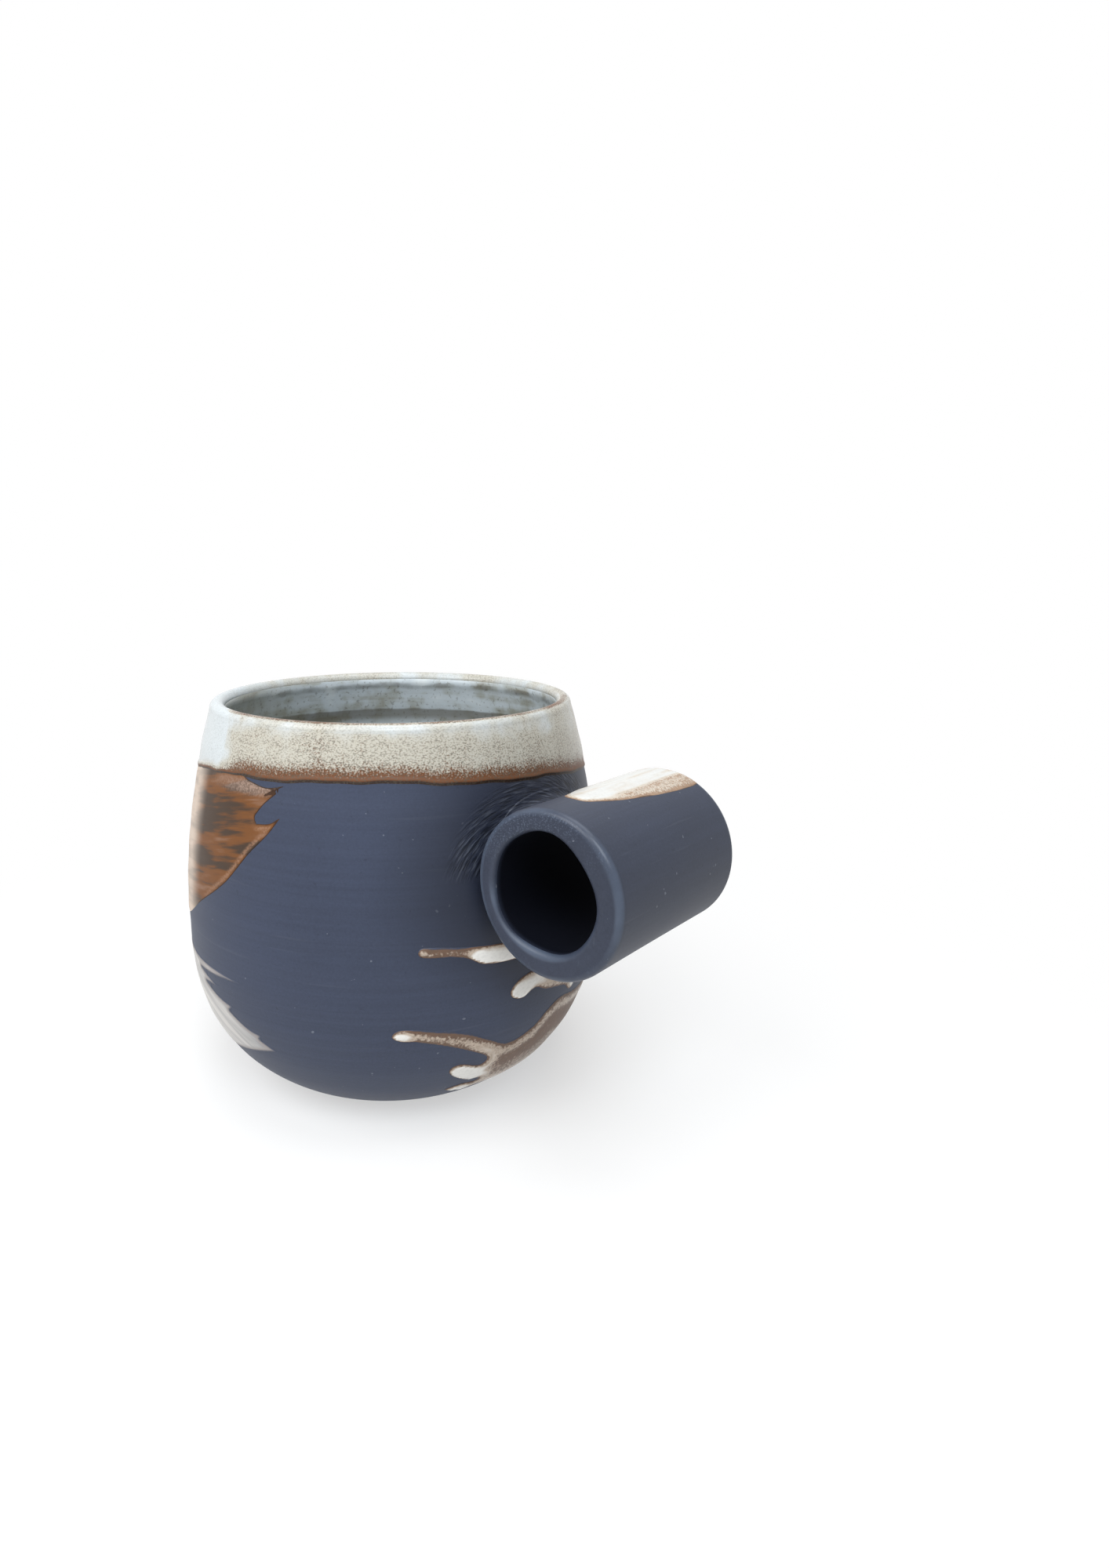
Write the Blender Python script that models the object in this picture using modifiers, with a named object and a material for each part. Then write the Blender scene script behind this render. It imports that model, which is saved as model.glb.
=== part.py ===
"""Hand-thrown stoneware mug with a hollow tube for a handle.

Metres, +Z up. The origin is the middle of the foot, on the surface that the mug stands on.
The handle is on +X, and its finger hole runs along Y.
Angles around the cup are measured from the handle, anticlockwise seen from above.
"""

import math

import bmesh
import bpy
from mathutils import Matrix, Vector

MM = 0.001

# Thrown cup
MUG_HEIGHT = 88 * MM
BELLY_RADIUS = 48 * MM
BELLY_HEIGHT = 42 * MM
RIM_RADIUS = 40.6 * MM
FOOT_RADIUS = 22 * MM
SHOULDER_POWER = 1.87
BOWL_POWER = 2.9
BOWL_ROUNDING = 0.658
WALL = 4.0 * MM
FLOOR = 6.0 * MM
FLOOR_RADIUS = 18 * MM
LIP_THICKNESS = 2.4 * MM

# Tube handle, laid against the wall on its side
TUBE_RADIUS = 16.05 * MM
BORE_RADIUS = 11.35 * MM
BORE_OFFSET = 0.9 * MM
TUBE_LENGTH = 41.8 * MM
TUBE_FROM_AXIS = 61.4 * MM
TUBE_HEIGHT = 59.8 * MM
TUBE_EDGE = 1.4 * MM

# Luting: the slip under the tube and the coils pressed in along it
SLIP = 0.5 * MM
COIL_RADIUS = 3.4 * MM
COIL_LENGTH = 26 * MM
COIL_RISE = 10.5 * MM
COIL_TAPER = 0.5

# Glaze coats, and the gap that pieces keep where they touch
GLAZE = 0.5 * MM
GAP = 0.3 * MM
PLATE = 10 * GLAZE
LINER_TOP = 85.6 * MM

# The rim was dipped with the mug held at a slant
DIP_HEIGHT = 71.6 * MM
DIP_RISE = 5.3 * MM
DIP_RADIUS = 44.5 * MM
DIP_HIGH_SIDE = math.radians(-54)
BLOCK = 4 * MUG_HEIGHT

# Facets
AROUND = 44
TUBE_AROUND = 40
TUBE_EDGE_STEPS = 2
LIP_STEPS = 6
INNER_BOWL_ROWS = 7
INNER_NECK_ROWS = 4
OUTER_BOWL_ROWS = 9
OUTER_NECK_ROWS = 6
CROWDED = 1.8
EVEN = 1.0
COIL_STATIONS = 8
COIL_STEPS = 2
OUTLINE_STEPS = 3
CELL_ALONG = 4.4 * MM
CELL_UP = 4.0 * MM
WELD = 0.001 * MM
ROUNDED_ANGLE = math.radians(60)
SHARP_ANGLE = math.radians(35)

# Finishes: colour, roughness
NAVY_CLAY = ((0.075, 0.088, 0.135, 1.0), 0.85)
DARK_SLIP = ((0.055, 0.065, 0.10, 1.0), 0.9)
CREAM_GLAZE = ((0.58, 0.57, 0.52, 1.0), 0.35)
LINER_GLAZE = ((0.30, 0.33, 0.33, 1.0), 0.3)
BROWN_GLAZE = ((0.17, 0.09, 0.06, 1.0), 0.45)
PALE_GLAZE = ((0.36, 0.33, 0.30, 1.0), 0.4)

# Outlines of the glaze on the wall: angle from the handle in degrees, height in millimetres,
# and whether the outline turns softly there or comes to a point
SOFT, POINT = "AUTO", "VECTOR"

UPPER_STROKE = [
    (-87, 81, POINT), (-84, 75.6, SOFT), (-72, 75.5, POINT), (-76, 73, SOFT), (-80.5, 68.8, POINT),
    (-72.5, 70.2, POINT), (-79, 63.8, SOFT), (-88, 57, SOFT), (-101.5, 48.3, SOFT), (-116, 41.3, SOFT),
    (-134, 38.6, SOFT), (-152, 41, SOFT), (-166, 50, SOFT), (-171, 61, POINT), (-166, 66.6, SOFT),
    (-172, 81, POINT),
]

LOWER_STROKES = [
    (-150, 35.5, SOFT), (-125, 35.3, SOFT), (-109, 35.1, SOFT), (-95, 35.1, SOFT), (-85, 34.4, POINT),
    (-93, 33.5, SOFT), (-106, 32.2, POINT), (-96.5, 31.0, POINT), (-105, 29.6, POINT), (-91, 27.5, POINT),
    (-94, 26.2, POINT), (-81.5, 23.5, POINT), (-84, 22.3, POINT), (-77.5, 20.6, POINT), (-86, 18.4, SOFT),
    (-98, 16.4, SOFT), (-120, 14.5, SOFT), (-145, 14.5, SOFT), (-165, 17, SOFT), (-172, 25, SOFT),
    (-165, 33, SOFT),
]

SIDE_RUN = [
    (-39, 45.1, SOFT), (-37, 46.0, SOFT), (-27, 44.9, SOFT), (-17, 43.9, SOFT), (-4, 43.4, SOFT),
    (6, 42.6, SOFT), (9, 41.3, SOFT), (4, 40.2, SOFT), (-10, 40.2, SOFT), (-17, 40.2, SOFT),
    (-22, 41.2, SOFT), (-27, 43.0, SOFT), (-37, 44.2, SOFT),
]

UPPER_RUN = [
    (-14.5, 32.4, SOFT), (-12, 35.0, SOFT), (-6, 36.2, SOFT), (4, 37.0, SOFT), (20, 36.5, SOFT),
    (32, 34.0, SOFT), (37, 30.8, SOFT), (32, 28.6, SOFT), (22, 29.2, SOFT), (14, 28.6, SOFT),
    (10, 26.2, SOFT), (6, 28.4, SOFT), (-2.6, 30.3, SOFT), (-6.5, 31.8, SOFT), (-11, 30.6, SOFT),
]

POURED_SWATH = [
    (-44.4, 27.3, SOFT), (-42, 28.5, SOFT), (-33, 27.5, SOFT), (-26, 26.0, SOFT), (-19, 22.8, SOFT),
    (-13, 20.4, SOFT), (-5, 21.9, SOFT), (-0.5, 24.6, SOFT), (5, 26.0, SOFT), (14, 24.6, SOFT),
    (28, 23.6, SOFT), (45, 25.5, SOFT), (66, 29, SOFT), (90, 32, SOFT), (112, 32, SOFT),
    (130, 28, SOFT), (136, 22, SOFT), (126, 16, SOFT), (105, 12, SOFT), (75, 9.5, SOFT),
    (40, 8.2, SOFT), (5, 7.4, SOFT), (-16, 7.6, SOFT), (-28.5, 9.0, SOFT), (-24, 10.5, SOFT),
    (-18.5, 10.7, SOFT), (-22.6, 11.9, SOFT), (-27.5, 14.2, SOFT), (-29.4, 16.6, SOFT), (-27, 17.9, SOFT),
    (-20.5, 16.3, SOFT), (-18.8, 17.6, SOFT), (-21, 19.5, SOFT), (-30, 23.2, SOFT), (-38, 25.4, SOFT),
    (-43, 26.1, SOFT),
]

# Outline of the glaze on the tube: angle from its crest in degrees, away from the cup,
# and place along it in millimetres
TUBE_PATCH = [
    (-1, -9.8, SOFT), (11, -7.6, SOFT), (19, -3, SOFT), (24, 2.4, SOFT), (28, 8, SOFT), (31, 14.6, SOFT),
    (31, 19, POINT), (-44, 19, POINT), (-40, 8, SOFT), (-32, 1, SOFT), (-25, -4.6, SOFT), (-14, -8.4, SOFT),
]


# Scene and collections

def empty_the_scene():
    for old in list(bpy.data.objects):
        bpy.data.objects.remove(old, do_unlink=True)


def new_collection(name):
    collection = bpy.data.collections.new(name)
    bpy.context.scene.collection.children.link(collection)
    return collection


empty_the_scene()
PARTS = new_collection("tube_handled_mug")
CUTTERS = new_collection("cutters")


def put_in(collection, piece):
    for other in list(piece.users_collection):
        other.objects.unlink(piece)
    collection.objects.link(piece)


def as_cutter(piece):
    put_in(CUTTERS, piece)
    piece.hide_render = True
    piece.display_type = "WIRE"
    return piece


def as_part(piece, name, finish):
    """Names the piece, puts it with the parts and gives it its own material."""
    colour, roughness = finish
    material = bpy.data.materials.new(name)
    material.use_nodes = True
    shader = material.node_tree.nodes["Principled BSDF"]
    shader.inputs["Base Color"].default_value = colour
    shader.inputs["Roughness"].default_value = roughness
    shader.inputs["Metallic"].default_value = 0.0
    piece.name = name
    piece.data.name = name
    piece.data.materials.clear()
    piece.data.materials.append(material)
    put_in(PARTS, piece)
    return piece


# Modelling helpers

def boolean(piece, operation, cutter):
    modifier = piece.modifiers.new(operation.lower(), "BOOLEAN")
    modifier.operation = operation
    modifier.object = cutter


def baked(piece):
    """A plain mesh object with the piece's modifiers carried out. The piece itself is removed."""
    graph = bpy.context.evaluated_depsgraph_get()
    mesh = bpy.data.meshes.new_from_object(piece.evaluated_get(graph))
    solid = bpy.data.objects.new(piece.name, mesh)
    solid.matrix_world = piece.matrix_world
    bpy.data.objects.remove(piece)
    weld = bmesh.new()
    weld.from_mesh(mesh)
    bmesh.ops.remove_doubles(weld, verts=weld.verts, dist=WELD)
    weld.to_mesh(mesh)
    weld.free()
    CUTTERS.objects.link(solid)
    return solid


def turned(name, profile, closed):
    """Turns a profile of (radius, height) points about Z."""
    mesh = bpy.data.meshes.new(name)
    edges = [(i, i + 1) for i in range(len(profile) - 1)]
    if closed:
        edges.append((len(profile) - 1, 0))
    mesh.from_pydata([(radius, 0, height) for radius, height in profile], edges, [])
    piece = bpy.data.objects.new(name, mesh)
    CUTTERS.objects.link(piece)
    screw = piece.modifiers.new("turning", "SCREW")
    screw.steps = AROUND
    screw.render_steps = AROUND
    screw.use_merge_vertices = True
    screw.merge_threshold = WELD
    screw.use_smooth_shade = True
    return piece


def tube_solid(radius, length, x_shift):
    """A cylinder along the handle's axis."""
    place = (TUBE_FROM_AXIS + x_shift, 0, TUBE_HEIGHT)
    bpy.ops.mesh.primitive_cylinder_add(
        vertices=TUBE_AROUND, radius=radius, depth=length, location=place, rotation=(math.pi / 2, 0, 0)
    )
    return bpy.context.object


# The clay section

def wall_radius(height):
    """Radius of the cup's outside at a height."""
    if height >= BELLY_HEIGHT:
        share = (height - BELLY_HEIGHT) / (MUG_HEIGHT - BELLY_HEIGHT)
        return BELLY_RADIUS - (BELLY_RADIUS - RIM_RADIUS) * share**SHOULDER_POWER
    share = 1 - max(height, 0) / BELLY_HEIGHT
    return FOOT_RADIUS + (BELLY_RADIUS - FOOT_RADIUS) * (1 - share**BOWL_POWER) ** BOWL_ROUNDING


def inner_radius(height):
    """Radius of the cup's inside at a height, below the lip."""
    if height >= BELLY_HEIGHT:
        rise = (height - BELLY_HEIGHT) / (MUG_HEIGHT - BELLY_HEIGHT)
        return wall_radius(height) - WALL - (LIP_THICKNESS - WALL) * rise
    share = 1 - (height - FLOOR) / (BELLY_HEIGHT - FLOOR)
    widest = BELLY_RADIUS - WALL
    return FLOOR_RADIUS + (widest - FLOOR_RADIUS) * (1 - share**BOWL_POWER) ** BOWL_ROUNDING


def heights(low, high, count, crowding):
    """Heights from low to high, crowded towards the low end."""
    return [low + (high - low) * (i / count) ** crowding for i in range(count + 1)]


LIP_RADIUS = LIP_THICKNESS / 2
LIP_HEIGHT = MUG_HEIGHT - GAP - GLAZE - LIP_RADIUS


def inner_section():
    bowl = heights(FLOOR, BELLY_HEIGHT, INNER_BOWL_ROWS, CROWDED)
    neck = heights(BELLY_HEIGHT, LIP_HEIGHT, INNER_NECK_ROWS, EVEN)[1:]
    return [(0, FLOOR)] + [(inner_radius(z), z) for z in bowl + neck]


def lip_section():
    centre = (wall_radius(LIP_HEIGHT) + inner_radius(LIP_HEIGHT)) / 2
    half = (wall_radius(LIP_HEIGHT) - inner_radius(LIP_HEIGHT)) / 2
    turns = [math.pi * i / LIP_STEPS for i in range(1, LIP_STEPS)]
    return [(centre - half * math.cos(turn), LIP_HEIGHT + LIP_RADIUS * math.sin(turn)) for turn in turns]


def outer_section():
    bowl = heights(0, BELLY_HEIGHT, OUTER_BOWL_ROWS, CROWDED)
    neck = heights(BELLY_HEIGHT, LIP_HEIGHT, OUTER_NECK_ROWS, EVEN)[1:]
    return [(wall_radius(z), z) for z in reversed(bowl + neck)]


def offset(path, distance):
    """A path moved sideways, away from the clay, on a section that runs up inside and down outside."""
    moved = []
    for i, (radius, height) in enumerate(path):
        before = path[max(i - 1, 0)]
        after = path[min(i + 1, len(path) - 1)]
        along_radius = after[0] - before[0]
        along_height = after[1] - before[1]
        length = math.hypot(along_radius, along_height)
        radius_out = radius - along_height / length * distance
        height_out = height + along_radius / length * distance
        moved.append((radius_out, height_out))
    return moved


def skin(path, start, thickness):
    """Closed section of a coat on a path: its free side forwards, its clay side back."""
    free_side = offset(path, start + thickness)
    clay_side = offset(path, start)
    return free_side + clay_side[::-1]


# The cup

def make_cup_body():
    section = inner_section() + lip_section() + outer_section() + [(0, 0)]
    return as_part(turned("cup_body", section, closed=False), "cup_body", NAVY_CLAY)


def wall_solid(distance):
    """The cup's outer form as a solid, grown by a distance."""
    path = offset(outer_section(), distance)
    top = (0, path[0][1])
    bottom = (0, path[-1][1])
    return turned("wall_solid", [top] + path + [bottom], closed=False)


# The handle and how it is luted on

def make_handle_tube():
    tube = tube_solid(TUBE_RADIUS, TUBE_LENGTH, 0)
    bore = as_cutter(tube_solid(BORE_RADIUS, 2 * TUBE_LENGTH, -BORE_OFFSET))
    boolean(tube, "DIFFERENCE", bore)
    rounding = tube.modifiers.new("rounding", "BEVEL")
    rounding.width = TUBE_EDGE
    rounding.segments = TUBE_EDGE_STEPS
    rounding.limit_method = "ANGLE"
    rounding.angle_limit = ROUNDED_ANGLE
    saddle = as_cutter(wall_solid(GAP + SLIP + GAP))
    boolean(tube, "DIFFERENCE", saddle)
    return as_part(tube, "handle_tube", NAVY_CLAY)


def make_luting_slip():
    coat = skin(outer_section(), GAP, SLIP)
    slip = turned("slip", coat, closed=True)
    boolean(slip, "INTERSECT", as_cutter(tube_solid(TUBE_RADIUS - GAP, TUBE_LENGTH, 0)))
    return as_part(slip, "luting_slip", DARK_SLIP)


def make_joint_coil(name, rise):
    """A coil of clay in the crevice between wall and tube, above or below the joint."""
    height = TUBE_HEIGHT + rise
    tube_side = TUBE_FROM_AXIS - math.sqrt(TUBE_RADIUS**2 - rise**2)
    curve = bpy.data.curves.new(name, "CURVE")
    curve.dimensions = "3D"
    curve.bevel_depth = COIL_RADIUS
    curve.bevel_resolution = COIL_STEPS
    curve.use_fill_caps = True
    line = curve.splines.new("POLY")
    line.points.add(COIL_STATIONS)
    for i, point in enumerate(line.points):
        share = 2 * i / COIL_STATIONS - 1
        along = share * COIL_LENGTH / 2
        wall_side = math.sqrt(wall_radius(height) ** 2 - along**2)
        point.co = ((wall_side + tube_side) / 2, along, height, 1)
        point.radius = 1 - COIL_TAPER * share**4
    coil = bpy.data.objects.new(name, curve)
    CUTTERS.objects.link(coil)
    coil = baked(coil)
    boolean(coil, "DIFFERENCE", as_cutter(wall_solid(GAP)))
    boolean(coil, "DIFFERENCE", as_cutter(tube_solid(TUBE_RADIUS + GAP, 2 * TUBE_LENGTH, 0)))
    return as_part(coil, name, NAVY_CLAY)


# The dipped coats

def dip_block(below, clearance):
    """A large block whose face is the dip's slanting line, on one side of it."""
    bpy.ops.mesh.primitive_cube_add(size=BLOCK)
    block = bpy.context.object
    side = -1 if below else 1
    slant = math.atan2(DIP_RISE, DIP_RADIUS)
    lean = Matrix.Rotation(DIP_HIGH_SIDE, 4, "Z") @ Matrix.Rotation(-slant, 4, "Y")
    middle = Vector((0, 0, DIP_HEIGHT + clearance)) + lean @ Vector((0, 0, side * BLOCK / 2))
    block.matrix_world = Matrix.Translation(middle) @ lean
    return as_cutter(block)


def make_liner_glaze():
    path = inner_section()[:-1] + [(inner_radius(LINER_TOP), LINER_TOP)]
    coat = skin(path, GAP, GLAZE)
    coat[0] = (0, coat[0][1])
    coat[-1] = (0, coat[-1][1])
    return as_part(turned("liner_glaze", coat, closed=False), "liner_glaze", LINER_GLAZE)


def make_rim_glaze():
    section = inner_section()[-1:] + lip_section() + outer_section()
    path = [point for point in section if point[1] > DIP_HEIGHT - 2 * DIP_RISE]
    rim = turned("rim_glaze", skin(path, GAP, GLAZE), closed=True)
    boolean(rim, "DIFFERENCE", dip_block(below=True, clearance=0))
    return as_part(rim, "rim_glaze", CREAM_GLAZE)


# The brushed and poured coats

def outline_prism(name, points):
    """A thick flat plate with a free outline, as a mesh."""
    curve = bpy.data.curves.new(name, "CURVE")
    curve.dimensions = "2D"
    curve.fill_mode = "BOTH"
    curve.extrude = PLATE / 2
    curve.resolution_u = OUTLINE_STEPS
    outline = curve.splines.new("BEZIER")
    outline.bezier_points.add(len(points) - 1)
    outline.use_cyclic_u = True
    for knot, (across, up, turn) in zip(outline.bezier_points, points):
        knot.co = (across, up, 0)
        knot.handle_left_type = turn
        knot.handle_right_type = turn
    plate = bpy.data.objects.new(name, curve)
    CUTTERS.objects.link(plate)
    return as_cutter(baked(plate))


def flat_coat(name, points):
    """A sheet of glaze laid flat, in small cells so that it can be wrapped on a round form."""
    low = [min(point[axis] for point in points) - GLAZE for axis in (0, 1)]
    high = [max(point[axis] for point in points) + GLAZE for axis in (0, 1)]
    columns = math.ceil((high[0] - low[0]) / CELL_ALONG)
    rows = math.ceil((high[1] - low[1]) / CELL_UP)
    bpy.ops.mesh.primitive_grid_add(x_subdivisions=columns, y_subdivisions=rows, size=1)
    sheet = bpy.context.object
    sheet.name = name
    stretch = Matrix.Diagonal((high[0] - low[0], high[1] - low[1], 1, 1))
    middle = Matrix.Translation(((low[0] + high[0]) / 2, (low[1] + high[1]) / 2, 0))
    sheet.data.transform(middle @ stretch)
    thickness = sheet.modifiers.new("thickness", "SOLIDIFY")
    thickness.thickness = GLAZE
    thickness.offset = 1
    boolean(sheet, "INTERSECT", outline_prism(name + "_outline", points))
    coat = baked(sheet)
    split = bmesh.new()
    split.from_mesh(coat.data)
    bmesh.ops.triangulate(split, faces=split.faces)
    split.to_mesh(coat.data)
    split.free()
    return coat


def on_wall(across, up, out):
    """Flat place to the cup's wall: distance round the belly, height, and distance off the clay."""
    angle = across / BELLY_RADIUS
    step = 0.05 * MM
    slope = (wall_radius(up + step) - wall_radius(up - step)) / (2 * step)
    steepness = math.hypot(1, slope)
    radius = wall_radius(up) + (GAP + out) / steepness
    height = up - slope * (GAP + out) / steepness
    return radius * math.cos(angle), radius * math.sin(angle), height


def on_tube(across, along, out):
    """Flat place to the tube's outside: distance round it from the crest, and along it."""
    angle = across / TUBE_RADIUS
    radius = TUBE_RADIUS + GAP + out
    return TUBE_FROM_AXIS + radius * math.sin(angle), along, TUBE_HEIGHT + radius * math.cos(angle)


def wrapped_coat(name, outline, round_radius, wrap, finish):
    points = [(math.radians(angle) * round_radius, up * MM, turn) for angle, up, turn in outline]
    coat = flat_coat(name, points)
    for vertex in coat.data.vertices:
        vertex.co = wrap(*vertex.co)
    return as_part(coat, name, finish)


def make_wall_coat(name, outline, finish):
    return wrapped_coat(name, outline, BELLY_RADIUS, on_wall, finish)


def make_upper_brushed_glaze():
    stroke = make_wall_coat("upper_brushed_glaze", UPPER_STROKE, BROWN_GLAZE)
    boolean(stroke, "DIFFERENCE", dip_block(below=False, clearance=-GAP))
    return stroke


# The mug

make_cup_body()
make_handle_tube()
make_luting_slip()
make_joint_coil("upper_joint_coil", COIL_RISE)
make_joint_coil("lower_joint_coil", -COIL_RISE)
make_liner_glaze()
make_rim_glaze()
make_upper_brushed_glaze()
make_wall_coat("lower_brushed_glaze", LOWER_STROKES, PALE_GLAZE)
make_wall_coat("side_run", SIDE_RUN, PALE_GLAZE)
make_wall_coat("upper_run", UPPER_RUN, PALE_GLAZE)
make_wall_coat("poured_glaze", POURED_SWATH, PALE_GLAZE)
wrapped_coat("handle_glaze", TUBE_PATCH, TUBE_RADIUS, on_tube, CREAM_GLAZE)

for cutter in list(CUTTERS.objects):
    as_cutter(cutter)
for part in PARTS.objects:
    part.data.shade_smooth()
    part.data.set_sharp_from_angle(angle=SHARP_ANGLE)
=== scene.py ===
import math

import bpy
import numpy as np
from mathutils import Matrix, Vector


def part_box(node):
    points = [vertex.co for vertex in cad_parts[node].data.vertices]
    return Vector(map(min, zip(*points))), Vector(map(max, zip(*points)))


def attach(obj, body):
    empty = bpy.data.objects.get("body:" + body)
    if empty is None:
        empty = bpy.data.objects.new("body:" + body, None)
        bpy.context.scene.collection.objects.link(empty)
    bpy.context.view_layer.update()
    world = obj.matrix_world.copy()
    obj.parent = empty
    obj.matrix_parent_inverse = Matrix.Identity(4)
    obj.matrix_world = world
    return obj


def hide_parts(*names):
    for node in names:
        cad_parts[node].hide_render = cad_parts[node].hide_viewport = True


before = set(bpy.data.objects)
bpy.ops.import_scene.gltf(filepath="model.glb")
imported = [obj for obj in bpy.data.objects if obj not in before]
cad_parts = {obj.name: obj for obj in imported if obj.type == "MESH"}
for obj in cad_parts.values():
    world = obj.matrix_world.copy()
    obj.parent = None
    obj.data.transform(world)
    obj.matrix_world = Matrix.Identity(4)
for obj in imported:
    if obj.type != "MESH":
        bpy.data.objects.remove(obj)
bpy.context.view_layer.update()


# Cup body
# The cup is thrown from one lump of stoneware that is stained navy all through, and its outside stays bare.
# Throwing leaves a faint swell in the wall, and trimming on the wheel leaves fine level rings in the skin.

MM = 0.001
MUG_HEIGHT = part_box("rim_glaze")[1].z
BELLY_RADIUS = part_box("cup_body")[1].y
BELLY_HEIGHT = 42 * MM
RIM_RADIUS = 40.6 * MM
FOOT_RADIUS = 22 * MM
SHOULDER_POWER = 1.87
BOWL_POWER = 2.9
BOWL_ROUNDING = 0.658
WALL = 4.0 * MM
FLOOR = 6.0 * MM
FLOOR_RADIUS = 18 * MM
LIP_THICKNESS = 2.5 * MM
COAT = 0.35 * MM
LIP_HEIGHT = MUG_HEIGHT - COAT - LIP_THICKNESS / 2

NAVY = (0.031, 0.040, 0.070, 1.0)
PALE_FLECK = (0.24, 0.26, 0.30, 1.0)


def wall_radius(height):
    """Radius of the cup's outside at a height."""
    height = np.asarray(height, float)
    rise = np.clip((height - BELLY_HEIGHT) / (MUG_HEIGHT - BELLY_HEIGHT), 0, 1)
    fall = np.clip(1 - height / BELLY_HEIGHT, 0, 1)
    shoulder = BELLY_RADIUS - (BELLY_RADIUS - RIM_RADIUS) * rise**SHOULDER_POWER
    bowl = FOOT_RADIUS + (BELLY_RADIUS - FOOT_RADIUS) * (1 - fall**BOWL_POWER) ** BOWL_ROUNDING
    return np.where(height >= BELLY_HEIGHT, shoulder, bowl)


def inner_radius(height):
    """Radius of the cup's inside at a height, below the lip."""
    height = np.asarray(height, float)
    rise = np.clip((height - BELLY_HEIGHT) / (MUG_HEIGHT - BELLY_HEIGHT), 0, 1)
    fall = np.clip(1 - (height - FLOOR) / (BELLY_HEIGHT - FLOOR), 0, 1)
    neck = wall_radius(height) - WALL - (LIP_THICKNESS - WALL) * rise
    widest = BELLY_RADIUS - WALL
    bowl = FLOOR_RADIUS + (widest - FLOOR_RADIUS) * (1 - fall**BOWL_POWER) ** BOWL_ROUNDING
    return np.where(height >= BELLY_HEIGHT, neck, bowl)


def swell(angle, height):
    """How far the thrown wall stands off a true turned form."""
    settled = np.clip(height / (12 * MM), 0, 1)
    lean = 0.10 * np.sin(2 * angle + 0.6) + 0.06 * np.sin(3 * angle - 1.1 + height / (30 * MM))
    rings = 0.035 * np.sin(math.tau * height / (7.5 * MM) + angle)
    return (lean + rings) * settled * MM


def on_wall(angle, height, lift):
    """Places on the cup's outside, lifted off the clay along its normal."""
    step = 0.1 * MM
    slope = (wall_radius(height + step) - wall_radius(height - step)) / (2 * step)
    steepness = np.hypot(1, slope)
    radius = wall_radius(height) + swell(angle, height) + lift / steepness
    level = height - slope * lift / steepness
    return np.stack([radius * np.cos(angle), radius * np.sin(angle), level], -1)


def lip_section(lift):
    """Half round of the lip, from the inside over the crest to the outside."""
    turn = np.linspace(0, math.pi, 15)
    outer, inner = wall_radius(LIP_HEIGHT), inner_radius(LIP_HEIGHT)
    middle, half = (outer + inner) / 2, (outer - inner) / 2
    radii = middle - (half + lift) * np.cos(turn)
    return np.stack([radii, LIP_HEIGHT + (LIP_THICKNESS / 2 + lift) * np.sin(turn)], -1)


def select_only(piece):
    bpy.ops.object.select_all(action="DESELECT")
    piece.select_set(True)
    bpy.context.view_layer.objects.active = piece


def drawn_line(name, places, closed):
    """A line through places, as a curve object."""
    line = bpy.data.curves.new(name, "CURVE")
    line.dimensions = "3D"
    spline = line.splines.new("POLY")
    spline.points.add(len(places) - 1)
    spline.use_cyclic_u = closed
    for point, place in zip(spline.points, places):
        point.co = (*place, 1)
    piece = bpy.data.objects.new(name, line)
    bpy.context.scene.collection.objects.link(piece)
    select_only(piece)
    return piece


def spun(name, section, closed, turns):
    """Draws a section of radius and height, and spins it round the mug's axis."""
    drawn_line(name, [(radius, 0, height) for radius, height in section], closed)
    bpy.ops.object.convert(target="MESH")
    piece = bpy.context.object
    bpy.ops.object.mode_set(mode="EDIT")
    bpy.ops.mesh.select_all(action="SELECT")
    bpy.ops.mesh.spin(steps=turns, angle=math.tau, center=(0, 0, 0), axis=(0, 0, 1))
    bpy.ops.mesh.select_all(action="SELECT")
    bpy.ops.mesh.remove_doubles(threshold=0.002 * MM)
    bpy.ops.mesh.normals_make_consistent(inside=False)
    bpy.ops.object.mode_set(mode="OBJECT")
    bpy.ops.object.shade_smooth()
    return piece


def places_of(piece):
    flat = np.empty(len(piece.data.vertices) * 3)
    piece.data.vertices.foreach_get("co", flat)
    return flat.reshape(-1, 3)


def move_to(piece, places):
    piece.data.vertices.foreach_set("co", np.ascontiguousarray(places, np.float32).ravel())
    piece.data.update()


def swelled(piece):
    """Gives a true turned piece the throwing swell of the wall."""
    places = places_of(piece)
    angle = np.arctan2(places[:, 1], places[:, 0])
    radius = np.hypot(places[:, 0], places[:, 1])
    share = np.clip(radius / RIM_RADIUS, 0, 1)
    radius = radius + swell(angle, places[:, 2]) * share
    move_to(piece, np.stack([radius * np.cos(angle), radius * np.sin(angle), places[:, 2]], -1))


CLOSER_BELOW = 1.8
inner_heights = np.concatenate([
    FLOOR + (BELLY_HEIGHT - FLOOR) * np.linspace(0, 1, 26) ** CLOSER_BELOW,
    np.linspace(BELLY_HEIGHT, LIP_HEIGHT, 22)[1:-1],
])
outer_heights = np.concatenate([
    BELLY_HEIGHT * np.linspace(0, 1, 44) ** CLOSER_BELOW,
    np.linspace(BELLY_HEIGHT, LIP_HEIGHT, 40)[1:-1],
])[::-1]
cup_section = np.concatenate([
    [(0, FLOOR)],
    np.stack([inner_radius(inner_heights), inner_heights], -1),
    lip_section(0),
    np.stack([wall_radius(outer_heights), outer_heights], -1),
    [(0, 0)],
])
cup = spun("thrown_cup", cup_section, closed=False, turns=180)
swelled(cup)


def feed(tree, value, socket):
    """Links a socket, or sets a plain value."""
    if isinstance(value, bpy.types.NodeSocket):
        tree.links.new(value, socket)
    else:
        socket.default_value = value


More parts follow.
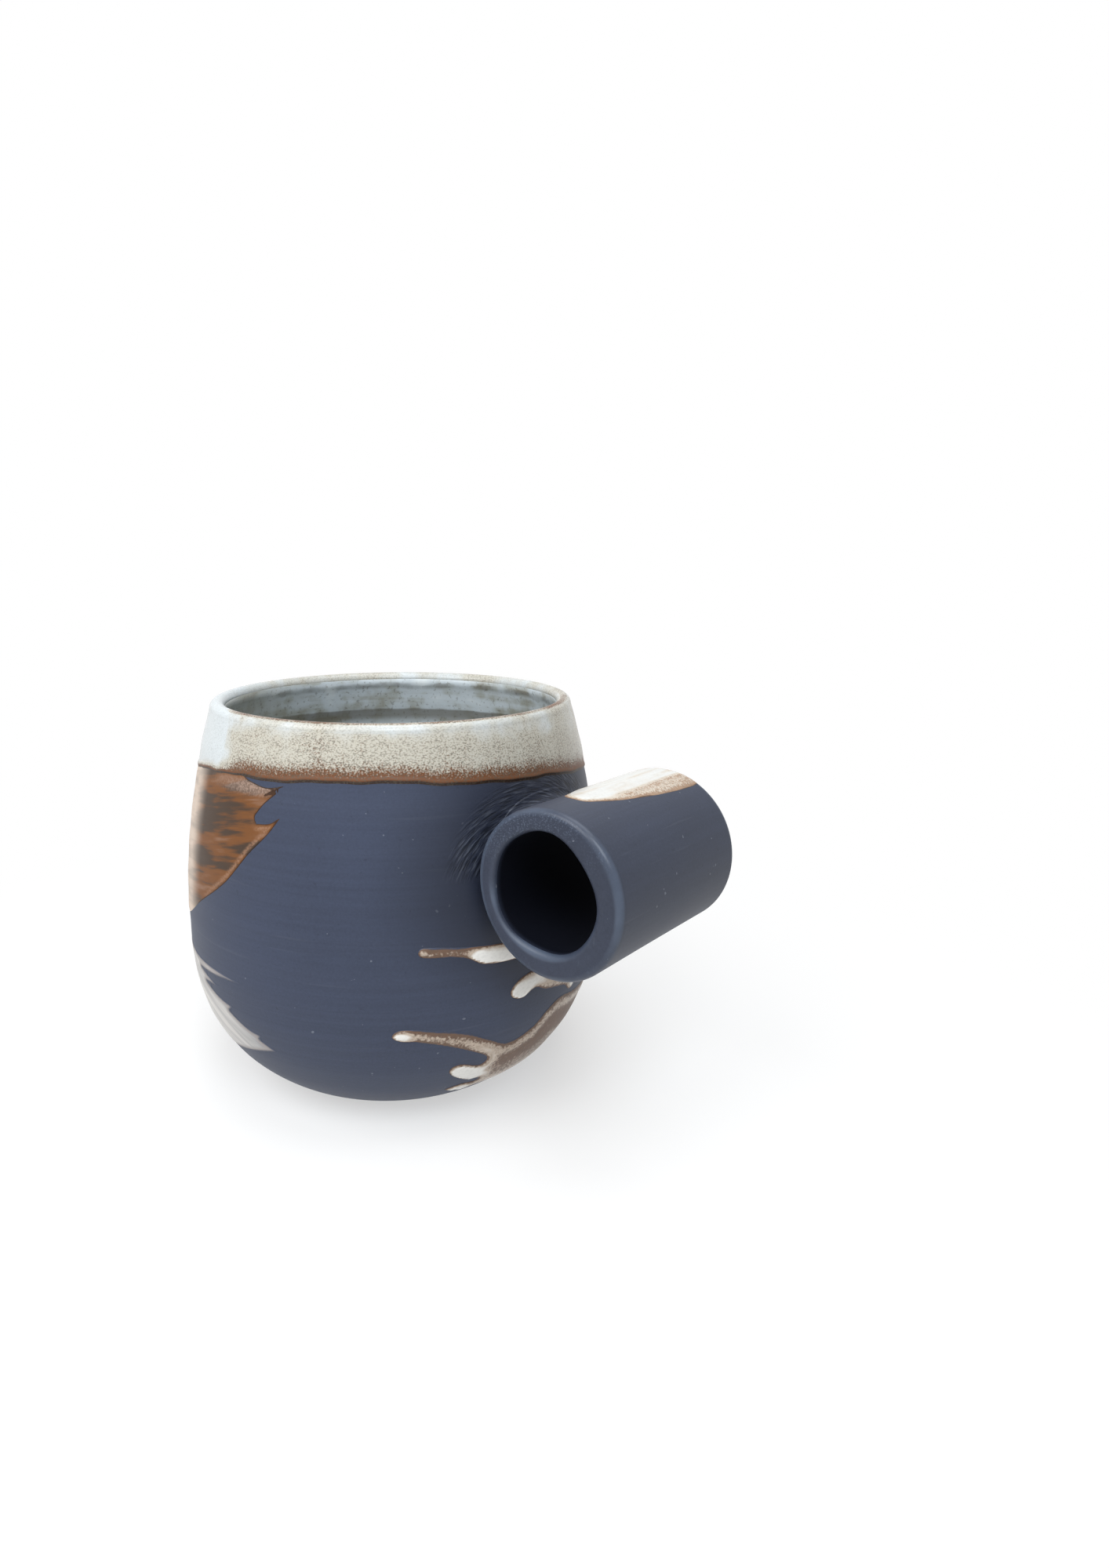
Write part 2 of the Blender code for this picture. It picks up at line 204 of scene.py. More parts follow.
def calc(tree, operation, *values):
    step = tree.nodes.new("ShaderNodeMath")
    step.operation = operation
    for socket, value in zip(step.inputs, values):
        feed(tree, value, socket)
    return step.outputs[0]


def times(tree, first, *others):
    """The product of two or more values."""
    for other in others:
        first = calc(tree, "MULTIPLY", first, other)
    return first


def fade(tree, value, low, high, from_value=0.0, to_value=1.0):
    """A soft step from one value to another as the input passes from low to high."""
    step = tree.nodes.new("ShaderNodeMapRange")
    step.interpolation_type = "SMOOTHSTEP"
    for name, given in (("Value", value), ("From Min", low), ("From Max", high)):
        feed(tree, given, step.inputs[name])
    feed(tree, from_value, step.inputs["To Min"])
    feed(tree, to_value, step.inputs["To Max"])
    return step.outputs[0]


def tint(tree, share, first, second, way="MIX"):
    step = tree.nodes.new("ShaderNodeMix")
    step.data_type = "RGBA"
    step.blend_type = way
    feed(tree, share, step.inputs[0])
    feed(tree, first, step.inputs[6])
    feed(tree, second, step.inputs[7])
    return step.outputs[2]


def cloud(tree, place, scale, detail=2.0):
    step = tree.nodes.new("ShaderNodeTexNoise")
    feed(tree, place, step.inputs["Vector"])
    feed(tree, scale, step.inputs["Scale"])
    step.inputs["Detail"].default_value = detail
    return step.outputs["Fac"]


def drawn(tree, place, stretch):
    """Coordinates stretched so that a pattern is drawn out along the directions with small numbers."""
    step = tree.nodes.new("ShaderNodeVectorMath")
    step.operation = "MULTIPLY"
    feed(tree, place, step.inputs[0])
    step.inputs[1].default_value = stretch
    return step.outputs[0]


def parts_of(tree, place):
    """The X, Y and Z of a place."""
    step = tree.nodes.new("ShaderNodeSeparateXYZ")
    feed(tree, place, step.inputs[0])
    return step.outputs


def effect(name, inputs, outputs):
    """A node group with named inputs and outputs."""
    tree = bpy.data.node_groups.new(name, "ShaderNodeTree")
    for socket_name, kind, value in inputs:
        socket = tree.interface.new_socket(socket_name, in_out="INPUT", socket_type="NodeSocket" + kind)
        if value is not None:
            socket.default_value = value
    for socket_name, kind in outputs:
        tree.interface.new_socket(socket_name, in_out="OUTPUT", socket_type="NodeSocket" + kind)
    return tree, tree.nodes.new("NodeGroupInput").outputs, tree.nodes.new("NodeGroupOutput").inputs


def finish_of(name):
    """A new material, with its tree, its shader and the place on the piece."""
    material = bpy.data.materials.new(name)
    material.use_nodes = True
    tree = material.node_tree
    place = tree.nodes.new("ShaderNodeTexCoord").outputs["Object"]
    return material, tree, tree.nodes["Principled BSDF"].inputs, place


def placed(tree, group, **values):
    """The group's outputs, with its inputs fed."""
    step = tree.nodes.new("ShaderNodeGroup")
    step.node_tree = group
    for name, value in values.items():
        feed(tree, value, step.inputs[name.replace("_", " ").capitalize()])
    return step.outputs


def relief(tree, height, strength, depth):
    step = tree.nodes.new("ShaderNodeBump")
    step.inputs["Strength"].default_value = strength
    step.inputs["Distance"].default_value = depth
    feed(tree, height, step.inputs["Height"])
    return step.outputs["Normal"]


def dress(tree, shader, colour, roughness, height, strength, depth):
    """Feeds a finish to its shader, with the height as relief."""
    feed(tree, colour, shader["Base Color"])
    feed(tree, roughness, shader["Roughness"])
    feed(tree, relief(tree, height, strength, depth), shader["Normal"])


bare_clay, given, result = effect(
    "bare_clay",
    [("Place", "Vector", None), ("Lines", "Vector", None), ("Clay", "Color", NAVY)],
    [("Color", "Color"), ("Roughness", "Float"), ("Height", "Float")],
)
clouding = cloud(bare_clay, given["Place"], 34, 4)
grain = cloud(bare_clay, given["Place"], 2300, 2)
tool_lines = cloud(bare_clay, given["Lines"], 1.0, 4)
fine_lines = drawn(bare_clay, given["Lines"], (1.7, 1.7, 0.45))
hair_lines = fade(bare_clay, cloud(bare_clay, fine_lines, 1.0, 2), 0.66, 0.72)
fleck = fade(bare_clay, cloud(bare_clay, given["Place"], 820, 1), 0.765, 0.80)
pit = fade(bare_clay, cloud(bare_clay, given["Place"], 980, 1), 0.72, 0.78)
level = calc(bare_clay, "MULTIPLY_ADD", clouding, 0.34, 0.83)
level = calc(bare_clay, "MULTIPLY_ADD", calc(bare_clay, "SUBTRACT", tool_lines, 0.5), 0.30, level)
level = calc(bare_clay, "MULTIPLY_ADD", calc(bare_clay, "SUBTRACT", grain, 0.5), 0.34, level)
level = calc(bare_clay, "MULTIPLY_ADD", pit, -0.18, level)
clay_colour = tint(bare_clay, 1.0, given["Clay"], level, "MULTIPLY")
clay_colour = tint(bare_clay, times(bare_clay, hair_lines, 0.035), clay_colour, PALE_FLECK)
clay_colour = tint(bare_clay, times(bare_clay, fleck, 0.36), clay_colour, PALE_FLECK)
feed(bare_clay, clay_colour, result["Color"])
feed(bare_clay, calc(bare_clay, "MULTIPLY_ADD", clouding, 0.14, 0.44), result["Roughness"])
clay_height = calc(bare_clay, "MULTIPLY_ADD", tool_lines, 0.8, times(bare_clay, grain, 0.45))
feed(bare_clay, calc(bare_clay, "MULTIPLY_ADD", pit, -0.4, clay_height), result["Height"])

clay_finish, tree, shader, place = finish_of("navy_clay_wall")
wall_lines = drawn(tree, place, (16, 16, 1500))
clay = placed(tree, bare_clay, place=place, lines=wall_lines)

# The joint was scraped with a toothed tool: arcs of fine scratches fan round the tube on the wall.
TUBE_LOW, TUBE_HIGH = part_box("handle_tube")
TUBE_RADIUS = (TUBE_HIGH.z - TUBE_LOW.z) / 2
TUBE_AXIS = Vector((TUBE_HIGH.x - TUBE_RADIUS, 0, (TUBE_HIGH.z + TUBE_LOW.z) / 2))
TUBE_END = (TUBE_HIGH.y - TUBE_LOW.y) / 2
SCRATCHES_FROM, SCRATCHES_TO = 18.5 * MM, 21.5 * MM
SHADE_FROM, SHADE_TO = 17 * MM, 33 * MM
SCRATCH_SLANT = 5 * MM
SCRATCH_FINENESS = 2700
SCRATCH_BREAKS = 5
JOINT_SHADE = (0.009, 0.012, 0.024, 1)
GROOVE_SHADE = (0.004, 0.006, 0.012, 1)
spot = parts_of(tree, place)
side = times(tree, spot["Y"], 0.85)
rise = calc(tree, "SUBTRACT", spot["Z"], TUBE_AXIS.z - 3 * MM)
reach = calc(tree, "SQRT", calc(tree, "ADD", times(tree, side, side), times(tree, rise, rise)))
bearing = calc(tree, "ARCTAN2", rise, side)
spiral = calc(tree, "MULTIPLY_ADD", bearing, -SCRATCH_SLANT, reach)
arcs = tree.nodes.new("ShaderNodeCombineXYZ")
feed(tree, times(tree, spiral, SCRATCH_FINENESS), arcs.inputs[0])
feed(tree, times(tree, bearing, SCRATCH_BREAKS), arcs.inputs[1])
scratch = cloud(tree, arcs.outputs[0], 1.0, 2)
on_handle_side = fade(tree, spot["X"], 20 * MM, 34 * MM)
above_tube = times(tree, fade(tree, bearing, 0.0, 0.4), fade(tree, bearing, 3.14, 2.95))
near_tube = times(tree, fade(tree, reach, SCRATCHES_TO, SCRATCHES_FROM), on_handle_side, above_tube)
groove = times(tree, fade(tree, scratch, 0.50, 0.40), near_tube)
ridge = times(tree, fade(tree, scratch, 0.52, 0.68), near_tube)
# The wall on the handle side darkens towards the tube: painted shade where the tube shuts off the light.
joint_shade = times(tree, fade(tree, reach, SHADE_TO, SHADE_FROM, 0.0, 0.85), on_handle_side)
scraped_and_shaded = tint(tree, joint_shade, clay["Color"], JOINT_SHADE)
scraped_and_shaded = tint(tree, times(tree, ridge, 0.18), scraped_and_shaded, PALE_FLECK)
scraped_and_shaded = tint(tree, times(tree, groove, 0.90), scraped_and_shaded, GROOVE_SHADE)
wall_height = calc(tree, "MULTIPLY_ADD", groove, -2.2, clay["Height"])
dress(tree, shader, scraped_and_shaded, clay["Roughness"], wall_height, 0.35, 0.06 * MM)
shader["Specular IOR Level"].default_value = 0.34

cup.data.materials.append(clay_finish)
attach(cup, "root")
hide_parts("cup_body")


# Handle tube
# A short open tube of the same clay, wide enough for one finger, is laid on its side against the wall.
# Its bore sits a little nearer the cup, and its ends are rounded with a damp sponge.

BORE_RADIUS = 11.35 * MM
BORE_OFFSET = 0.9 * MM
TUBE_EDGE = 1.4 * MM
BORE_EDGE = 1.1 * MM


def corner(radius, along, size, first_turn):
    """A quarter round of the tube's section, about a middle at radius and along."""
    turn = first_turn + np.linspace(0, math.pi / 2, 9)
    return [(radius + size * math.cos(t), along + size * math.sin(t)) for t in turn]


def tube_section():
    """Section of the tube's wall, as radius and place along its axis, once round."""
    along = np.linspace(-TUBE_END, TUBE_END, 40)
    outside = [(TUBE_RADIUS, a) for a in along if abs(a) < TUBE_END - TUBE_EDGE]
    inside = [(BORE_RADIUS, a) for a in along[::-1] if abs(a) < TUBE_END - BORE_EDGE]
    section = corner(TUBE_RADIUS - TUBE_EDGE, TUBE_EDGE - TUBE_END, TUBE_EDGE, -math.pi / 2)
    section += outside
    section += corner(TUBE_RADIUS - TUBE_EDGE, TUBE_END - TUBE_EDGE, TUBE_EDGE, 0)
    section += corner(BORE_RADIUS + BORE_EDGE, TUBE_END - BORE_EDGE, BORE_EDGE, math.pi / 2)
    section += inside
    section += corner(BORE_RADIUS + BORE_EDGE, BORE_EDGE - TUBE_END, BORE_EDGE, math.pi)
    return section


def hand_swell(angle, along):
    """How far the hand-rolled tube stands off a true round, in millimetres."""
    return 0.10 * np.sin(2 * angle + 0.4 + along / (18 * MM)) + 0.07 * np.sin(3 * angle - 0.8)


tube = spun("handle_tube_clay", tube_section(), closed=True, turns=144)
spin_places = places_of(tube)
tube_angle = np.arctan2(spin_places[:, 1], spin_places[:, 0])
tube_reach = np.hypot(spin_places[:, 0], spin_places[:, 1])
tube_along = spin_places[:, 2]
inwards = np.clip((TUBE_RADIUS - TUBE_EDGE - tube_reach) / (TUBE_RADIUS - TUBE_EDGE - BORE_RADIUS), 0, 1)
hand_made = hand_swell(tube_angle, tube_along)
bore_made = 0.30 * np.sin(3 * tube_angle + 1.9) + 0.16 * np.sin(5 * tube_angle + 0.5)
tube_reach = tube_reach + (hand_made + inwards * bore_made) * MM
tube_x = TUBE_AXIS.x + tube_reach * np.sin(tube_angle) - BORE_OFFSET * inwards
tube_z = TUBE_AXIS.z + tube_reach * np.cos(tube_angle)
# The side that meets the cup is pared to a saddle that beds just into the wall
from_axis = np.hypot(tube_x, tube_along)
bedded = np.maximum(from_axis, wall_radius(tube_z) - 0.25 * MM)
tube_x = np.where(bedded > from_axis, np.sqrt(np.maximum(bedded**2 - tube_along**2, 0)), tube_x)
move_to(tube, np.stack([tube_x, tube_along, tube_z], -1))
select_only(tube)
bpy.ops.object.mode_set(mode="EDIT")
bpy.ops.mesh.select_all(action="SELECT")
bpy.ops.mesh.normals_make_consistent(inside=False)
bpy.ops.object.mode_set(mode="OBJECT")

TUBE_CLAY = (0.029, 0.035, 0.055, 1)
BORE_SHADE = (0.0025, 0.003, 0.006, 1)
BLOOM_AND_HIGHLIGHT = (0.13, 0.165, 0.225, 1)


def tube_clay(tree, place):
    """The tube's clay, and the distance from the middle of the tube's length."""
    clay = placed(tree, bare_clay, place=place, lines=drawn(tree, place, (900, 22, 900)), clay=TUBE_CLAY)
    return clay, calc(tree, "ABSOLUTE", parts_of(tree, place)["Y"])


def axis_distance(tree, place, x, z):
    """Distance from a line that lies along the tube."""
    step = tree.nodes.new("ShaderNodeVectorMath")
    step.operation = "DISTANCE"
    feed(tree, drawn(tree, place, (1, 0, 1)), step.inputs[0])
    step.inputs[1].default_value = (x, 0, z)
    return step.outputs["Value"]


tube_finish, tree, shader, place = finish_of("navy_clay_tube")
clay, along = tube_clay(tree, place)
level = parts_of(tree, place)["Z"]
# The damp sponge smooths the rounded edges. Their paler colour is partly a chalky bloom and partly a painted
# highlight
from_axis = axis_distance(tree, place, TUBE_AXIS.x, TUBE_AXIS.z)
outer_corner = TUBE_RADIUS + TUBE_END
to_corner = calc(tree, "ADD", from_axis, along)
outer_edge = fade(tree, to_corner, outer_corner - 1.5 * MM, outer_corner - 0.8 * MM)
from_bore = axis_distance(tree, place, TUBE_AXIS.x - BORE_OFFSET, TUBE_AXIS.z)
inner_corner = TUBE_END - BORE_RADIUS
to_corner = calc(tree, "SUBTRACT", along, from_bore)
inner_edge = fade(tree, to_corner, inner_corner - 1.3 * MM, inner_corner - 0.6 * MM)
# Painted highlight on the bore's edge, kept mostly to its lower half where the light catches it.
lit_lower_half = fade(tree, level, TUBE_AXIS.z + 1 * MM, TUBE_AXIS.z - 5 * MM, 0.1, 1.0)
sponged = calc(tree, "MAXIMUM", outer_edge, times(tree, inner_edge, lit_lower_half))
worn = fade(tree, cloud(tree, place, 60, 3), 0.34, 0.66, 0.25, 1.0)
frost = fade(tree, cloud(tree, place, 3200, 2), 0.52, 0.66)
frost_patches = fade(tree, cloud(tree, place, 75, 2), 0.46, 0.62, 0.0, 0.35)
on_face = fade(tree, along, TUBE_END - 0.5 * MM, TUBE_END - 0.05 * MM, 0.1, 1.0)
top_half = fade(tree, level, TUBE_AXIS.z + 1 * MM, TUBE_AXIS.z + 10 * MM, 0.1, 1.0)
frost = times(tree, frost, frost_patches, on_face, top_half)
bloom_and_highlight = calc(tree, "MULTIPLY_ADD", times(tree, sponged, worn), 0.42, frost)
tube_colour = tint(tree, bloom_and_highlight, clay["Color"], BLOOM_AND_HIGHLIGHT)
tube_roughness = calc(tree, "MULTIPLY_ADD", sponged, -0.20, clay["Roughness"])
dress(tree, shader, tube_colour, tube_roughness, clay["Height"], 0.30, 0.05 * MM)
shader["Specular IOR Level"].default_value = 0.28

# The bore fades to near black a little way in: painted shade, since little light gets into the tube
shaded_bore_finish, tree, shader, place = finish_of("painted_shade_bore")
clay, along = tube_clay(tree, place)
bore_shade = fade(tree, along, TUBE_END - 1.0 * MM, TUBE_END - 2.4 * MM, 0.45, 0.985)
bore_colour = tint(tree, bore_shade, clay["Color"], BORE_SHADE)
bore_roughness = fade(tree, along, TUBE_END - 1.0 * MM, TUBE_END - 5 * MM, 0.5, 0.85)
dress(tree, shader, bore_colour, bore_roughness, clay["Height"], 0.30, 0.05 * MM)
shader["Specular IOR Level"].default_value = 0.06

tube.data.materials.append(tube_finish)
tube.data.materials.append(shaded_bore_finish)
middles = np.empty(len(tube.data.polygons) * 3)
tube.data.polygons.foreach_get("center", middles)
middles = middles.reshape(-1, 3)
to_bore = np.hypot(middles[:, 0] - TUBE_AXIS.x + BORE_OFFSET, middles[:, 2] - TUBE_AXIS.z)
in_bore = (to_bore < BORE_RADIUS + 0.6 * MM) & (np.abs(middles[:, 1]) < TUBE_END - BORE_EDGE)
tube.data.polygons.foreach_set("material_index", in_bore.astype(np.int32))
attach(tube, "root")
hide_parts("handle_tube")


# Luting slip and joint coils
# The tube beds in thick slip on the scored wall, and a soft coil of clay is pressed into the crevice
# above it and below it, then drawn smooth with a tool into a hollow fillet.

SLIP_GREY = (0.05, 0.06, 0.095, 1)
slip_finish, tree, shader, place = finish_of("dried_slip")
slip = placed(tree, bare_clay, place=place, lines=drawn(tree, place, (300, 300, 300)), clay=SLIP_GREY)
dress(tree, shader, *slip, 0.5, 0.1 * MM)
slip_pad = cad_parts["luting_slip"]
slip_pad.data.materials.clear()
slip_pad.data.materials.append(slip_finish)

COIL_REACH = 14 * MM
FILLET_RADIUS = 2.8 * MM
COIL_SKIN = 0.5 * MM


def gridded(name, columns, rows):
    """A grid from 0 to 1 each way, to be laid out in code."""
    bpy.ops.object.select_all(action="DESELECT")
    bpy.ops.mesh.primitive_grid_add(
        x_subdivisions=columns, y_subdivisions=rows, size=1, location=(0.5, 0.5, 0)
    )
    bpy.ops.object.transform_apply(location=True)
    sheet = bpy.context.object
    sheet.name = name
    return sheet


def apply_modifier(piece, kind, **settings):
    modifier = piece.modifiers.new(kind.lower(), kind)
    for name, value in settings.items():
        setattr(modifier, name, value)
    select_only(piece)
    bpy.ops.object.modifier_apply(modifier=modifier.name)


def fillet_line(along, radius, side, shares):
    """Hollow arc that touches the tube and the wall at one place along the tube."""
    low, high = 0.0, math.pi / 2
    for _ in range(40):
        lean = (low + high) / 2
        middle_x = TUBE_AXIS.x - (TUBE_RADIUS + radius) * math.cos(lean)
        middle_z = TUBE_AXIS.z + side * (TUBE_RADIUS + radius) * math.sin(lean)
        clear = math.hypot(middle_x, along) - float(wall_radius(middle_z)) - radius
        low, high = (lean, high) if clear < 0 else (low, lean)
    to_tube = math.atan2(side * -math.sin(lean), math.cos(lean))
    turn = to_tube + (-side * math.pi - to_tube) * shares
    sink = 0.15 * MM
    x = middle_x + (radius + sink) * np.cos(turn)
    z = middle_z + (radius + sink) * np.sin(turn)
    return np.stack([x, np.full_like(x, along), z], -1)


def joint_coil(name, side):
    columns, rows = 60, 16
    coil = gridded(name, columns, rows)
    spots = places_of(coil)
    laid = np.empty_like(spots)
    for share in np.unique(spots[:, 0].round(6)):
        chosen = np.isclose(spots[:, 0], share, atol=1e-5)
        along = (2 * share - 1) * COIL_REACH
        radius = FILLET_RADIUS * (1 - 0.55 * abs(2 * share - 1) ** 3)
        laid[chosen] = fillet_line(along, radius, side, spots[chosen, 1])
    move_to(coil, laid)
    apply_modifier(coil, "SOLIDIFY", thickness=COIL_SKIN, offset=side)
    bpy.ops.object.shade_smooth()
    return coil


for coil_name, coil_side in (("upper_joint_coil", 1), ("lower_joint_coil", -1)):
    coil = joint_coil(coil_name + "_smoothed", coil_side)
    coil.data.materials.append(clay_finish)
    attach(coil, "root")
    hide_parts(coil_name)


# Liner glaze
# A grey-blue glaze is poured into the cup, swilled round and tipped out again. It breaks green-brown
# over the throwing rings and creeps down the wall in soft streaks.

TUCK = 0.12 * MM
RING_PITCH = 6.5 * MM
SLATE = (0.48, 0.525, 0.545, 1)
MOSS = (0.28, 0.275, 0.225, 1)
MIST = (0.61, 0.645, 0.645, 1)
TIDE_BROWN = (0.085, 0.070, 0.045, 1)


def stood_off(path, lift):
    """A section line moved to its left side, by one lift or by a lift for each point."""
    along = np.gradient(path, axis=0)
    along /= np.hypot(along[:, 0], along[:, 1])[:, None]
    left = np.stack([-along[:, 1], along[:, 0]], -1)
    return path + left * np.broadcast_to(lift, len(path))[:, None]


liner_path = np.concatenate([
    [(r, FLOOR) for r in np.linspace(0, FLOOR_RADIUS, 12)[:-1]],
    np.stack([inner_radius(inner_heights), inner_heights], -1),
    [(inner_radius(LIP_HEIGHT), LIP_HEIGHT)],
])
ripple = 0.14 * MM * np.sin(math.tau * liner_path[:, 1] / RING_PITCH)
liner_section = np.concatenate([stood_off(liner_path, COAT + ripple), stood_off(liner_path, -TUCK)[::-1]])
liner_section[0, 0] = liner_section[-1, 0] = 0
liner = spun("poured_liner", liner_section, closed=False, turns=144)
swelled(liner)


def towards(tree, spot, x_share, y_share):
    """How far a place lies towards one side of the mug."""
    return calc(tree, "MULTIPLY_ADD", spot["X"], x_share, times(tree, spot["Y"], y_share))


liner_finish, tree, shader, place = finish_of("liner_glaze")
rings = cloud(tree, drawn(tree, place, (22, 22, 430)), 1.0, 3)
patches = cloud(tree, drawn(tree, place, (125, 125, 110)), 1.0, 4)
dust = cloud(tree, place, 1100, 2)
mottle = calc(tree, "ADD", times(tree, rings, 0.35), times(tree, patches, 0.65))
glaze_colour = tint(tree, fade(tree, mottle, 0.36, 0.54), MOSS, SLATE)
glaze_colour = tint(tree, fade(tree, mottle, 0.54, 0.70), glaze_colour, MIST)
spot = parts_of(tree, place)
wander = calc(tree, "SUBTRACT", patches, 0.5)
level = calc(tree, "MULTIPLY_ADD", wander, 4 * MM, spot["Z"])
pour_level = calc(tree, "MULTIPLY_ADD", wander, 1.2 * MM, spot["Z"])
# Where the rim's glaze laps over the liner the two melt into a mossy line. The pour left a tide mark
# lower down. The left of the inside is darker moss green, partly the glaze's tone and partly painted shade.
mossy = times(tree, fade(tree, level, 83.2 * MM, 84.0 * MM), fade(tree, level, 85.4 * MM, 84.6 * MM))
mossy = times(tree, mossy, fade(tree, cloud(tree, place, 140, 4), 0.38, 0.64, 0.08, 0.55))
tide = times(tree, fade(tree, pour_level, 78.0 * MM, 77.4 * MM), fade(tree, pour_level, 73 * MM, 76 * MM))
dark_marks = calc(tree, "MAXIMUM", mossy, times(tree, tide, 0.7))
glaze_colour = tint(tree, dark_marks, glaze_colour, TIDE_BROWN)
# Painted shade on the left of the inside, mixed with the glaze's own moss tone.
shaded_left_side = towards(tree, spot, -0.68, -0.73)
glaze_colour = tint(tree, fade(tree, shaded_left_side, 20 * MM, 39 * MM, 0.0, 0.6), glaze_colour, MOSS)
glaze_colour = tint(tree, fade(tree, dust, 0.58, 0.70, 0.0, 0.4), glaze_colour, TIDE_BROWN)
dress(tree, shader, glaze_colour, fade(tree, mottle, 0.3, 0.8, 0.42, 0.26), mottle, 0.3, 0.1 * MM)
liner.data.materials.append(liner_finish)
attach(liner, "root")
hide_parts("liner_glaze")


# Rim glaze
# The cup is dipped upside down and a little aslant in a cream glaze. It is thick and speckled above,
# breaks rust brown over the lowest few millimetres and on the crest of the lip, and ends in a dark line.

DIP_HEIGHT = 71.6 * MM
DIP_RISE = 5.3 * MM
DIP_HIGH_SIDE = math.radians(-54)
INSIDE_LAP = 1.8 * MM
CREAM = (0.465, 0.435, 0.365, 1)
MILK = (0.545, 0.575, 0.58, 1)
RUST = (0.122, 0.042, 0.012, 1)
PEPPER = (0.070, 0.056, 0.038, 1)
SOOT = (0.026, 0.013, 0.008, 1)


def dip_edge(angle):
    """Height of the band's lower edge, with the small waves that a dip leaves."""
    waves = 0.20 * np.sin(7 * angle + 1.0) + 0.13 * np.sin(16 * angle + 0.4) + 0.07 * np.sin(37 * angle)
    return DIP_HEIGHT + DIP_RISE * np.cos(angle - DIP_HIGH_SIDE) + waves * MM


def soft_step(value):
    value = np.clip(value, 0, 1)
    return value * value * (3 - 2 * value)


def dip_lift(above):
    """Thickness of the band over its lower edge: a fine bead, a thin break, then the full coat."""
    bead = 0.30 * np.exp(-(((above - 0.7 * MM) / (0.45 * MM)) ** 2))
    return COAT * (soft_step(above / (0.6 * MM)) * (0.5 + 0.5 * soft_step(above / (6 * MM))) + bead)


lap_heights = np.linspace(LIP_HEIGHT - INSIDE_LAP, LIP_HEIGHT, 7)[:-1]
skirt_shares = 1 - (1 - np.linspace(0, 1, 56)[1:]) ** 1.5
skirt_heights = LIP_HEIGHT - skirt_shares * (LIP_HEIGHT - DIP_HEIGHT)
rim_path = np.concatenate([
    np.stack([inner_radius(lap_heights), lap_heights], -1),
    lip_section(0),
    np.stack([wall_radius(skirt_heights), skirt_heights], -1),
])
lap_share = np.clip((rim_path[:, 1] - lap_heights[0]) / INSIDE_LAP, 0, 1)
on_lap = np.arange(len(rim_path)) < len(lap_heights)
rim_front = stood_off(rim_path, COAT * np.where(on_lap, 0.35 + 0.75 * soft_step(lap_share), 1.1))
rim_section = np.concatenate([rim_front, stood_off(rim_path, -TUCK)[::-1]])
rim = spun("dipped_rim", rim_section, closed=True, turns=240)
nominal = places_of(rim)
rim_angle = np.arctan2(nominal[:, 1], nominal[:, 0])
rim_spot = np.stack([np.hypot(nominal[:, 0], nominal[:, 1]), nominal[:, 2]], -1)
row = np.array([np.argmin(((rim_section - spot) ** 2).sum(1)) for spot in rim_spot])
front = row < len(rim_path)
path_row = np.where(front, row, len(rim_section) - 1 - row)
first_skirt_row = len(rim_path) - len(skirt_shares)
on_skirt = path_row >= first_skirt_row
share = np.where(on_skirt, skirt_shares[np.clip(path_row - first_skirt_row, 0, None)], 0)
edge_height = dip_edge(rim_angle)
skirt_height = LIP_HEIGHT - share * (LIP_HEIGHT - edge_height)
above = skirt_height - edge_height
skirt_places = on_wall(rim_angle, skirt_height, np.where(front, dip_lift(above), -TUCK))
lip_radius = rim_spot[:, 0] + swell(rim_angle, nominal[:, 2])
lip_places = np.stack([lip_radius * np.cos(rim_angle), lip_radius * np.sin(rim_angle), nominal[:, 2]], -1)
move_to(rim, np.where(on_skirt[:, None], skirt_places, lip_places))


def give(piece, name, values):
    """Stores one number for each point of a piece."""
    layer = piece.data.attributes.new(name, "FLOAT", "POINT")
    layer.data.foreach_set("value", np.asarray(values, np.float32))


give(rim, "above_edge", np.where(on_skirt, above, 20 * MM) / MM)

broken_glaze, given, result = effect(
    "broken_glaze",
    [("Place", "Vector", None), ("Depth", "Float", 0.5), ("Speckle", "Float", 0.5), ("Grain", "Float", 2600),
     ("Line", "Color", SOOT), ("Thin", "Color", RUST), ("Body", "Color", CREAM), ("Pool", "Color", MILK)],
    [("Color", "Color"), ("Roughness", "Float"), ("Height", "Float")],
)
blotch = calc(broken_glaze, "SUBTRACT", cloud(broken_glaze, given["Place"], 300, 3), 0.5)
grit = calc(broken_glaze, "SUBTRACT", cloud(broken_glaze, given["Place"], given["Grain"], 3), 0.5)
ragged = calc(broken_glaze, "MULTIPLY_ADD", blotch, 0.26, given["Depth"])
grit_share = fade(broken_glaze, given["Depth"], 0.1, 0.45, 0.7, 1.2)
gritty = calc(broken_glaze, "MULTIPLY_ADD", grit, grit_share, ragged)
past_line = fade(broken_glaze, given["Depth"], 0.03, 0.13)
glaze_colour = tint(broken_glaze, past_line, given["Line"], given["Thin"])
glaze_colour = tint(broken_glaze, fade(broken_glaze, gritty, 0.30, 0.68), glaze_colour, given["Body"])
glaze_colour = tint(broken_glaze, fade(broken_glaze, ragged, 0.74, 1.05), glaze_colour, given["Pool"])
dots = cloud(broken_glaze, drawn(broken_glaze, given["Place"], (0.8, 0.8, 1.3)), given["Grain"], 3)
dots = fade(broken_glaze, dots, 0.45, 0.65)
dots = times(broken_glaze, dots, given["Speckle"], fade(broken_glaze, ragged, 0.95, 0.6, 0.25, 1.0))
glaze_colour = tint(broken_glaze, dots, glaze_colour, PEPPER)
feed(broken_glaze, glaze_colour, result["Color"])
feed(broken_glaze, fade(broken_glaze, ragged, 0.1, 0.8, 0.50, 0.26), result["Roughness"])
feed(broken_glaze, calc(broken_glaze, "MULTIPLY_ADD", grit, 0.6, ragged), result["Height"])


def stored(tree, name):
    step = tree.nodes.new("ShaderNodeAttribute")
    step.attribute_name = name
    return step.outputs["Fac"]


